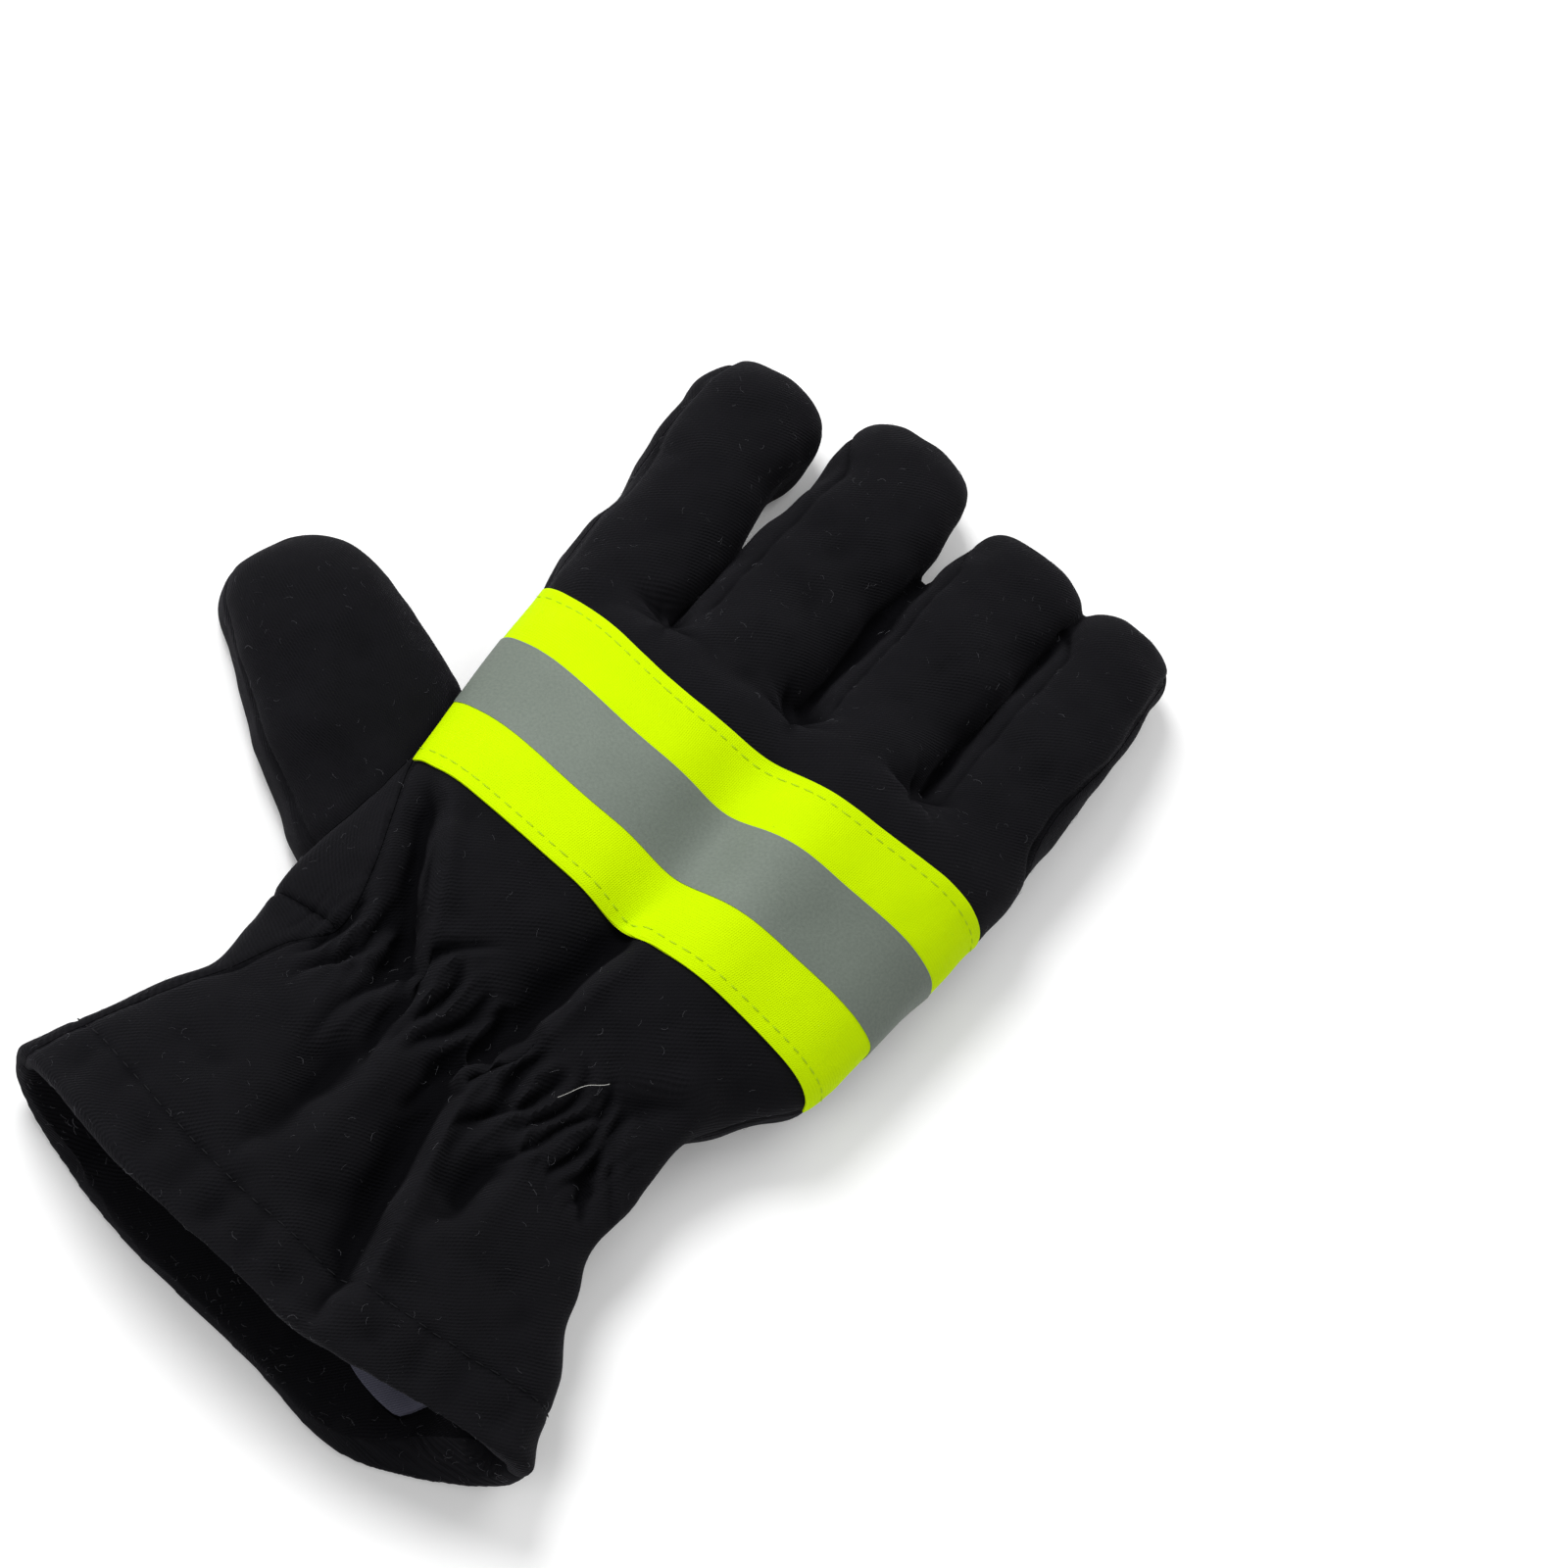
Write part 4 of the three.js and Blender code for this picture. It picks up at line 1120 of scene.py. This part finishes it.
def clothPlace(name, p):
    if name.startswith("strip"):
        return p[:, 2], p[:, 1]
    if name.startswith("thumb"):
        along, across = thumbPlace(p)
        half = form["thumbWidth"] * column(thumbProfile, "width", np.clip(along / 64, 0, 0.9)) / 2
        q = np.stack([across, along, p[:, 2]], 1)
        top = form["thumbThickness"]
        return roundPlace(q, 0, half, top, top * form["fingerSeam"], fingerArc, name == "thumb_top"), along
    return handPlace(p, name == "back_cloth"), p[:, 1]


def setCloth(piece, across, along):
    setValues(piece, "cloth", "FLOAT_VECTOR", np.stack([across * mm, along * mm, np.zeros(len(across))], 1))


for name, piece in panels.items():
    setCloth(piece, *clothPlace(name, pointsOf(piece)))
    setPaintedShading(piece, paintedShadings["thumb" if name.startswith("thumb") else "hand"])
points = pointsOf(liningCloth)
setCloth(liningCloth, points[:, 0], points[:, 1])
for piece, grid, offsets, alongs in ((tapeCloth, laid, tapeOffsets, tapeAlong),
                                     (stripeFilm, stripeGrid, tapeOffsets[onStripe], tapeAlong[onStripe])):
    count = len(piece.data.vertices)
    setCloth(piece, np.tile(alongs.ravel(), 2)[:count], np.tile(np.repeat(offsets, grid.shape[1]), 2)[:count])
report("cloth coordinates")

# finishes


def newTree(name, kind, inputs, outputs):   # a node group with its sockets
    tree = bpy.data.node_groups.new(name, kind)
    for label, sort, value in inputs:
        socket = tree.interface.new_socket(label, in_out="INPUT", socket_type=f"NodeSocket{sort}")
        if value is not None:
            socket.default_value = value
    for label, sort in outputs:
        tree.interface.new_socket(label, in_out="OUTPUT", socket_type=f"NodeSocket{sort}")
    return tree, tree.nodes.new("NodeGroupInput").outputs, tree.nodes.new("NodeGroupOutput")


def addNode(tree, kind, inputs=None, **settings):
    node = tree.nodes.new(kind)
    for label, value in settings.items():
        setattr(node, label, value)
    fill(tree, node, inputs or {})
    return node


def maths(tree, operation, *values, clamp=False):
    node = addNode(tree, "ShaderNodeMath", dict(enumerate(values)), operation=operation, use_clamp=clamp)
    return node.outputs[0]


def plus(tree, a, b):
    return maths(tree, "ADD", a, b)


def times(tree, a, b):
    return maths(tree, "MULTIPLY", a, b)


def noiseOf(tree, vector, scale, detail=2.0, rough=0.5):
    return addNode(tree, "ShaderNodeTexNoise", {
        "Vector": vector, "Scale": scale, "Detail": detail, "Roughness": rough}).outputs["Fac"]


def wavesOf(tree, vector, direction, scale, shake, broad=1.0):
    return addNode(tree, "ShaderNodeTexWave", {
        "Vector": vector, "Scale": scale, "Distortion": shake, "Detail Scale": broad},
        wave_type="BANDS", bands_direction=direction).outputs["Fac"]


def attributeOf(tree, name, output):
    node = addNode(tree, "ShaderNodeAttribute", attribute_name=name, attribute_type="GEOMETRY")
    return node.outputs[output]


def mixed(tree, factor, dark, light):
    return addNode(tree, "ShaderNodeMix", {"Factor": factor, 6: (*dark, 1), 7: (*light, 1)},
                   data_type="RGBA").outputs[2]


def bumped(tree, height, distance, strength=1.0):
    return addNode(tree, "ShaderNodeBump", {
        "Height": height, "Distance": distance, "Strength": strength}).outputs["Normal"]


weaveLook = {"waleShake": 1.3, "waleBroad": 0.45, "waleShare": 0.75, "yarns": 1.25, "yarnShake": 0.8,
             "yarnShare": 0.25, "fuzz": 3600.0, "fuzzRough": 0.65, "fuzzTone": 0.45, "worn": 260.0,
             "wornRough": 0.6, "wornTone": 0.35, "wornShare": 0.6, "brushed": 110.0, "brushedRough": 0.7,
             "patchGain": 4.2, "patchFrom": -1.7, "patchShare": 0.75, "patchLeast": 0.3, "shownMost": 1.15,
             "shownTone": 0.5, "noiseDetail": 3.0}


def twillGroup():   # slanting wales of a brushed twill, with its nap
    look = weaveLook
    tree, into, out = newTree("twillWeave", "ShaderNodeTree", [
        ("Place", "Vector", None), ("Angle", "Float", 0.9), ("Wales", "Float", 450.0), ("Nap", "Float", 0.35),
    ], [("Height", "Float"), ("Tone", "Float")])
    turned = addNode(tree, "ShaderNodeVectorRotate", {"Vector": into["Place"], "Angle": into["Angle"]},
                     rotation_type="Z_AXIS").outputs[0]
    wale = wavesOf(tree, turned, "X", into["Wales"], look["waleShake"], look["waleBroad"])
    yarn = wavesOf(tree, turned, "DIAGONAL", times(tree, into["Wales"], look["yarns"]), look["yarnShake"])
    fuzz, worn, brushed = (noiseOf(tree, into["Place"], look[k], look["noiseDetail"], look[f"{k}Rough"])
                           for k in ("fuzz", "worn", "brushed"))
    woven = plus(tree, times(tree, wale, look["waleShare"]), times(tree, yarn, look["yarnShare"]))
    patchy = maths(tree, "MULTIPLY_ADD", brushed, look["patchGain"], look["patchFrom"], clamp=True)
    shown = maths(tree, "MULTIPLY_ADD", maths(tree, "SUBTRACT", woven, 0.5),
                  maths(tree, "MULTIPLY_ADD", patchy, look["patchShare"], look["patchLeast"]), 0.5)
    shown = times(tree, shown, maths(tree, "SUBTRACT", look["shownMost"], times(tree, worn, look["wornShare"])))
    rough = plus(tree, times(tree, fuzz, look["fuzzTone"]), times(tree, worn, look["wornTone"]))
    fill(tree, out, {"Height": plus(tree, shown, times(tree, fuzz, into["Nap"])),
                     "Tone": plus(tree, times(tree, shown, look["shownTone"]), rough)})
    return tree


twill = twillGroup()
clothLook = {"dark": (0.0014, 0.0014, 0.0018), "light": (0.0094, 0.0092, 0.0110), "rough": 0.95,
             "sheen": 0.045, "sheenRough": 0.35, "sheenTint": (0.60, 0.58, 0.68), "bump": 0.0002,
             "specular": 0.05, "creasePaintedShade": 0.72, "ridgePaintedLight": 0.22, "wales": 450.0,
             "backAngle": 50, "palmAngle": 30, "thumbAngle": 177.4}
tapeLook = {"knit": 700.0, "ribs": 520.0, "shake": 0.4, "cloud": 120.0, "knitTone": 0.35, "cloudTone": 0.65,
            "dark": (0.47, 0.70, 0.0), "light": (0.54, 0.77, 0.0), "glow": 0.10, "rough": 0.7,
            "specular": 0.02, "bump": 0.00012, "bumpShare": 0.7}
filmLook = {"beads": 3200.0, "grain": 1500.0, "cloud": 60.0, "grainTone": 0.7, "cloudTone": 0.3,
            "dark": (0.10, 0.118, 0.10), "light": (0.20, 0.235, 0.20), "bump": 0.00005, "bumpShare": 0.5,
            "rough": 0.6, "specular": 0.2, "metal": 0.1}
liningLook = {"angle": 0.6, "wales": 700.0, "dark": (0.060, 0.060, 0.090), "light": (0.13, 0.13, 0.175),
              "bump": 0.0001, "rough": 0.7, "specular": 0.2}


def weaveOf(tree, angle, wales):
    return addNode(tree, "ShaderNodeGroup", {
        "Place": attributeOf(tree, "cloth", "Vector"), "Angle": angle, "Wales": wales},
        node_tree=twill).outputs


def clothMaterial(name, angle):
    look = clothLook
    material, tree, shader = newMaterial(name)
    weave = weaveOf(tree, math.radians(angle), look["wales"])
    paintedShading = attributeOf(tree, "paintedShading", "Fac")
    # painted shade darkens the colour, specular and sheen in creases, and painted highlight lightens them on ridges
    paintedCreaseShade = times(tree, maths(tree, "MAXIMUM", paintedShading, 0.0), look["creasePaintedShade"])
    paintedRidgeLight = times(tree, maths(tree, "MAXIMUM", times(tree, paintedShading, -1.0), 0.0), look["ridgePaintedLight"])
    share = plus(tree, maths(tree, "SUBTRACT", 1.0, paintedCreaseShade), paintedRidgeLight)
    fill(tree, shader, {
        "Base Color": mixed(tree, times(tree, weave["Tone"], share), look["dark"], look["light"]),
        "Normal": bumped(tree, weave["Height"], look["bump"]), "Roughness": look["rough"],
        "Specular IOR Level": times(tree, share, look["specular"]),
        "Sheen Weight": times(tree, share, look["sheen"]),
        "Sheen Roughness": look["sheenRough"], "Sheen Tint": (*look["sheenTint"], 1)})
    return material


def tapeMaterial():
    look = tapeLook
    material, tree, shader = newMaterial("fluorescentTape")
    place = attributeOf(tree, "cloth", "Vector")
    height = times(tree, wavesOf(tree, place, "X", look["knit"], look["shake"]),
                   wavesOf(tree, place, "Y", look["ribs"], look["shake"]))
    cloud = noiseOf(tree, place, look["cloud"], 3.0)
    tone = plus(tree, times(tree, height, look["knitTone"]), times(tree, cloud, look["cloudTone"]))
    colour = mixed(tree, tone, look["dark"], look["light"])
    # the emission is a painted glow: the tape's own colour also shines out, though the tape is no lamp
    fill(tree, shader, {
        "Base Color": colour, "Emission Color": colour, "Emission Strength": look["glow"],
        "Roughness": look["rough"], "Specular IOR Level": look["specular"],
        "Normal": bumped(tree, height, look["bump"], look["bumpShare"])})
    return material


def stripeMaterial():
    look = filmLook
    material, tree, shader = newMaterial("silverFilm")
    place = attributeOf(tree, "cloth", "Vector")
    beads = addNode(tree, "ShaderNodeTexVoronoi", {"Vector": place, "Scale": look["beads"]})
    grain = noiseOf(tree, place, look["grain"], 2.0, 0.6)
    cloud = noiseOf(tree, place, look["cloud"])
    tone = plus(tree, times(tree, grain, look["grainTone"]), times(tree, cloud, look["cloudTone"]))
    fill(tree, shader, {
        "Base Color": mixed(tree, tone, look["dark"], look["light"]),
        "Normal": bumped(tree, beads.outputs["Distance"], look["bump"], look["bumpShare"]),
        "Roughness": look["rough"], "Specular IOR Level": look["specular"], "Metallic": look["metal"]})
    return material


def liningMaterial():
    look = liningLook
    material, tree, shader = newMaterial("liningWeave")
    weave = weaveOf(tree, look["angle"], look["wales"])
    fill(tree, shader, {
        "Base Color": mixed(tree, weave["Tone"], look["dark"], look["light"]),
        "Normal": bumped(tree, weave["Height"], look["bump"]), "Roughness": look["rough"],
        "Specular IOR Level": look["specular"]})
    return material


backTwill, palmTwill, thumbTwill = (clothMaterial(f"{k}Twill", clothLook[f"{k}Angle"])
                                    for k in ("back", "palm", "thumb"))
finishes = {"back_cloth": backTwill, "palm_cloth": palmTwill, "cuff_cloth": backTwill,
            "thumb_top": thumbTwill, "thumb_under": thumbTwill,
            "strip_index_middle": palmTwill, "strip_middle_ring": palmTwill, "strip_ring_little": palmTwill}
standsFor = {"back_cloth": "back_panel", "palm_cloth": "palm_panel", "cuff_cloth": "cuff_palm",
             "thumb_top": "thumb_back", "thumb_under": "thumb_front",
             "strip_index_middle": "fourchette_index_middle", "strip_middle_ring": "fourchette_middle_ring",
             "strip_ring_little": "fourchette_ring_little"}

# stitches and lint


def after(tree, value, kind, inputs=None, **settings):   # a node fed by the value, and what comes out first
    return addNode(tree, kind, {0: value, **(inputs or {})}, **settings).outputs[0]


def randomOf(tree, low, high, seed, kind="FLOAT"):
    k = 0 if kind == "FLOAT_VECTOR" else 2
    node = addNode(tree, "FunctionNodeRandomValue", {k: low, k + 1: high, "Seed": seed}, data_type=kind)
    return node.outputs[k // 2]


def threadTree(name, first, value):   # a node tree for threads or fibres with its inputs
    return newTree(name, "GeometryNodeTree", [
        ("Geometry", "Geometry", None), (first, "Float", value), ("Length", "Float", 0.002),
        ("Thickness", "Float", 0.0004), ("Seed", "Int", 1), ("Material", "Material", None),
    ], [("Geometry", "Geometry")])


def finishTree(tree, geometry, into, out):   # realized, smooth, with its material
    smooth = after(tree, after(tree, geometry, "GeometryNodeRealizeInstances"), "GeometryNodeSetShadeSmooth")
    fill(tree, out, {0: after(tree, smooth, "GeometryNodeSetMaterial", {"Material": into["Material"]})})
    return tree


def stitchTree():   # one small rounded stitch at every pitch along a line
    tree, into, out = threadTree("stitchLine", "Pitch", 0.003)
    line = after(tree, into["Geometry"], "GeometryNodeMeshToCurve")
    spaced = after(tree, line, "GeometryNodeResampleCurve", {"Length": into["Pitch"]}, mode="LENGTH")
    bead = addNode(tree, "GeometryNodeMeshUVSphere", {"Segments": 6, "Rings": 6, "Radius": 0.5})
    loose = randomOf(tree, 0.85, 1.15, into["Seed"])
    size = addNode(tree, "ShaderNodeCombineXYZ", {
        0: times(tree, into["Length"], loose), 1: into["Thickness"], 2: into["Thickness"]})
    tangent = addNode(tree, "GeometryNodeInputTangent").outputs[0]
    turned = addNode(tree, "FunctionNodeAlignRotationToVector", {"Vector": tangent}, axis="X")
    placed = after(tree, spaced, "GeometryNodeInstanceOnPoints", {
        "Instance": bead.outputs["Mesh"], "Rotation": turned.outputs[0], "Scale": size.outputs[0]})
    return finishTree(tree, placed, into, out)


def lintTree():   # loose bent fibres scattered over a surface
    tree, into, out = threadTree("lintScatter", "Density", 20000.0)
    where = addNode(tree, "GeometryNodeInputNamedAttribute", {"Name": "lintShare"}, data_type="FLOAT")
    spread = addNode(tree, "GeometryNodeDistributePointsOnFaces", {
        0: into["Geometry"], "Density": times(tree, into["Density"], where.outputs["Attribute"]),
        "Seed": into["Seed"]}).outputs
    bent = addNode(tree, "GeometryNodeCurveQuadraticBezier", {
        "Resolution": 5, "Start": (-0.5, 0, 0.02), "Middle": (0.1, 0.6, 0.18), "End": (0.45, -0.1, 0.03)})
    thin = maths(tree, "DIVIDE", into["Thickness"], times(tree, into["Length"], 2.0))
    section = addNode(tree, "GeometryNodeCurvePrimitiveCircle", {"Resolution": 3, "Radius": thin})
    fibre = addNode(tree, "GeometryNodeCurveToMesh", {
        "Curve": bent.outputs["Curve"], "Profile Curve": section.outputs["Curve"], "Fill Caps": True})
    tilt = lint["tilt"]
    turn = randomOf(tree, (-tilt, -tilt, 0.0), (tilt, tilt, 6.283), into["Seed"], "FLOAT_VECTOR")
    turned = after(tree, spread["Rotation"], "FunctionNodeRotateRotation",
                   {1: after(tree, turn, "FunctionNodeEulerToRotation")}, rotation_space="LOCAL")
    size = times(tree, into["Length"], randomOf(tree, 0.3, 1.5, into["Seed"]))
    bend = randomOf(tree, 0.05, 0.9, plus(tree, into["Seed"], 1.0))
    scale = addNode(tree, "ShaderNodeCombineXYZ", {0: size, 1: times(tree, size, bend), 2: size})
    placed = after(tree, spread["Points"], "GeometryNodeInstanceOnPoints", {
        "Instance": fibre.outputs[0], "Rotation": turned, "Scale": scale.outputs[0]})
    return finishTree(tree, placed, into, out)


def grown(piece, tree, values):   # runs a node tree on a piece and keeps its result as a plain mesh
    modifier = piece.modifiers.new(tree.name, "NODES")
    modifier.node_group = tree
    for item in tree.interface.items_tree:
        if item.in_out == "INPUT" and item.name in values:
            modifier[item.identifier] = values[item.name]
    return applied(piece)


def lineObject(name, lines):   # open lines of points, mm in the hand frame
    points, edges = [], []
    for line in lines:
        start = len(points)
        points += [tuple(p) for p in line]
        edges += [(start + k, start + k + 1) for k in range(len(line) - 1)]
    mesh = bpy.data.meshes.new(name)
    mesh.from_pydata([tuple((np.array(p) + handOrigin) * mm) for p in points], edges, [])
    return newObject(name, mesh)


def threadMaterial(name, dark, light):
    material, tree, shader = newMaterial(name)
    place = addNode(tree, "ShaderNodeTexCoord").outputs["Object"]
    grain = noiseOf(tree, place, threadLook["grain"])
    fill(tree, shader, {
        "Base Color": mixed(tree, grain, dark, light), "Normal": bumped(tree, grain, threadLook["bump"]),
        "Roughness": threadLook["rough"], "Specular IOR Level": threadLook["specular"]})
    return material


threadLook = {"grain": 2500.0, "bump": 0.00003, "rough": 0.7, "specular": 0.15}
tapeStitch = {"inset": 2.7, "pitch": 2.9, "length": 2.1, "thick": 0.34, "seed": 3, "lift": 0.02}
hemStitch = {"from": -61.0, "to": 56.0, "pitch": 3.2, "length": 2.3, "thick": 0.36, "seed": 4, "lift": 0.06}
lint = {"density": 60000.0, "length": 1.4, "thick": 0.042, "seed": 21, "tilt": 0.35}
skyHigh = 80   # above everything, mm


def tapeStitchLines():
    lines = []
    for side in (-1, 1):
        at = np.interp(side * (tape["width"] / 2 - tapeStitch["inset"]), tapeOffsets, np.arange(len(tapeOffsets)))
        low, share = int(at), at - int(at)
        line = laid[low] * (1 - share) + laid[low + 1] * share
        up = tapeUp[low] * (1 - share) + tapeUp[low + 1] * share
        lines.append((line + up * (tape["thick"] + tapeStitch["lift"]))[2:-2])
    return lines


def surfaceAt(x, y):   # the hand's upper side there
    return handTree.ray_cast(Vector((x, y, skyHigh)), Vector((0, 0, -1)))[0]


def hemStitchLine():
    line = []
    for x in np.arange(hemStitch["from"], hemStitch["to"], 1.0):
        for y in np.arange(-75, -25, 0.25):
            if hemDistance(np.array([[x, y, 0]]))[0] >= hemLook["stitchAt"]:
                break
        spot = surfaceAt(x, y)
        if spot is not None and spot[2] > form["sideSeam"]:
            line.append((spot[0], spot[1], spot[2] + hemStitch["lift"]))
    return line


def threadValues(look, material, first):   # sizes in metres for a tree of threads or fibres
    return {first: look[first.lower()] * (mm if first == "Pitch" else 1), "Length": look["length"] * mm,
            "Thickness": look["thick"] * mm, "Seed": look["seed"], "Material": material}


def stitched(name, lines, look, material):
    return grown(lineObject(name, lines), stitchLine, threadValues(look, material, "Pitch"))


def lintShare(piece, isHand):
    points, normals = pointsOf(piece), normalsOf(piece)
    share = smoothStep(normals[:, 2], -0.35, 0.2)
    if isHand:
        away = points[:, 1] - tape["start"] - tape["width"] / 2 + 1
        share *= smoothStep(np.abs(away), 27.5, 30) + (points[:, 2] < 13)
        share = np.clip(share, 0, 1) * (0.7 + 0.5 * np.exp(-(hemDistance(points) / 16) ** 2)
                                         + 2.0 * np.exp(-(hemDistance(points) / 2.5) ** 2))
    share *= 0.4 + 0.6 * (clouds(points, [22.0], [1.0], lint["seed"]) > 0)
    setValues(piece, "lintShare", "FLOAT", share)


for piece in (handOuter, thumbOuter):
    lintShare(piece, piece is handOuter)
stitchLine, lintScatter = stitchTree(), lintTree()
lintMaterial = threadMaterial("lintFibre", (0.03, 0.03, 0.035), (0.20, 0.20, 0.22))
lintPieces = {name: grown(copyOf(piece, name), lintScatter, threadValues(lint, lintMaterial, "Density"))
              for name, piece in (("lint_hand", handOuter), ("lint_thumb", thumbOuter))}
yellowThread = threadMaterial("yellowThread", (0.36, 0.55, 0.0), (0.46, 0.66, 0.01))
blackThread = threadMaterial("blackThread", (0.002, 0.002, 0.003), (0.009, 0.009, 0.011))
tapeStitches = stitched("tape_stitches", tapeStitchLines(), tapeStitch, yellowThread)
hemStitches = stitched("hem_stitches", [hemStitchLine()], hemStitch, blackThread)
whiteFibre = {"start": (18.1, 1.4), "end": (23.1, 10.0), "bend": 0.9, "lift": 0.1, "rise": 0.4,
              "pitch": 0.2, "length": 0.38, "thick": 0.12, "seed": 6}

def fibreLine():   # a long white fibre caught on the back of the wrist
    line = []
    start, end = np.array(whiteFibre["start"]), np.array(whiteFibre["end"])
    side = np.array([start[1] - end[1], end[0] - start[0]]) / np.linalg.norm(end - start)
    for share in np.linspace(0, 1, 40):
        x, y = start + (end - start) * share + side * whiteFibre["bend"] * math.sin(math.pi * share * 1.6) * share
        spot = surfaceAt(x, y)
        line.append((spot[0], spot[1], spot[2] + whiteFibre["lift"] + whiteFibre["rise"] * share))
    height = [max(p[2] for p in line[max(k - 7, 0):k + 8]) for k in range(len(line))]
    height = np.convolve(np.pad(height, 5, "edge"), np.ones(11) / 11, "valid")
    return [(p[0], p[1], z) for p, z in zip(line, height)]


paleFibre = threadMaterial("paleFibre", (0.35, 0.35, 0.33), (0.70, 0.70, 0.66))
lintPieces["white_fibre"] = stitched("white_fibre", [fibreLine()], whiteFibre, paleFibre)
report("stitches and lint")
discard(handOuter, thumbOuter)


def finished(piece, material, slot, *nodes):
    piece.data.shade_smooth()
    piece.data.set_sharp_from_angle(angle=math.radians(50))
    piece.data.materials.clear()
    piece.data.materials.append(material)
    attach(piece, "root")
    if nodes:
        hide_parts(*nodes)


for name, piece in panels.items():
    finished(piece, finishes[name], "black_twill", standsFor[name])
finished(liningCloth, liningMaterial(), "lining_cloth", "cuff_lining")
finished(tapeCloth, tapeMaterial(), "yellow_tape", "reflective_tape")
finished(stripeFilm, stripeMaterial(), "silver_film", "silver_stripe")
for piece, slot in ((tapeStitches, "yellow_tape"), (hemStitches, "black_twill"),
                    *((piece, "black_twill") for piece in lintPieces.values())):
    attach(piece, "root")
    print("   ", countOf(piece))
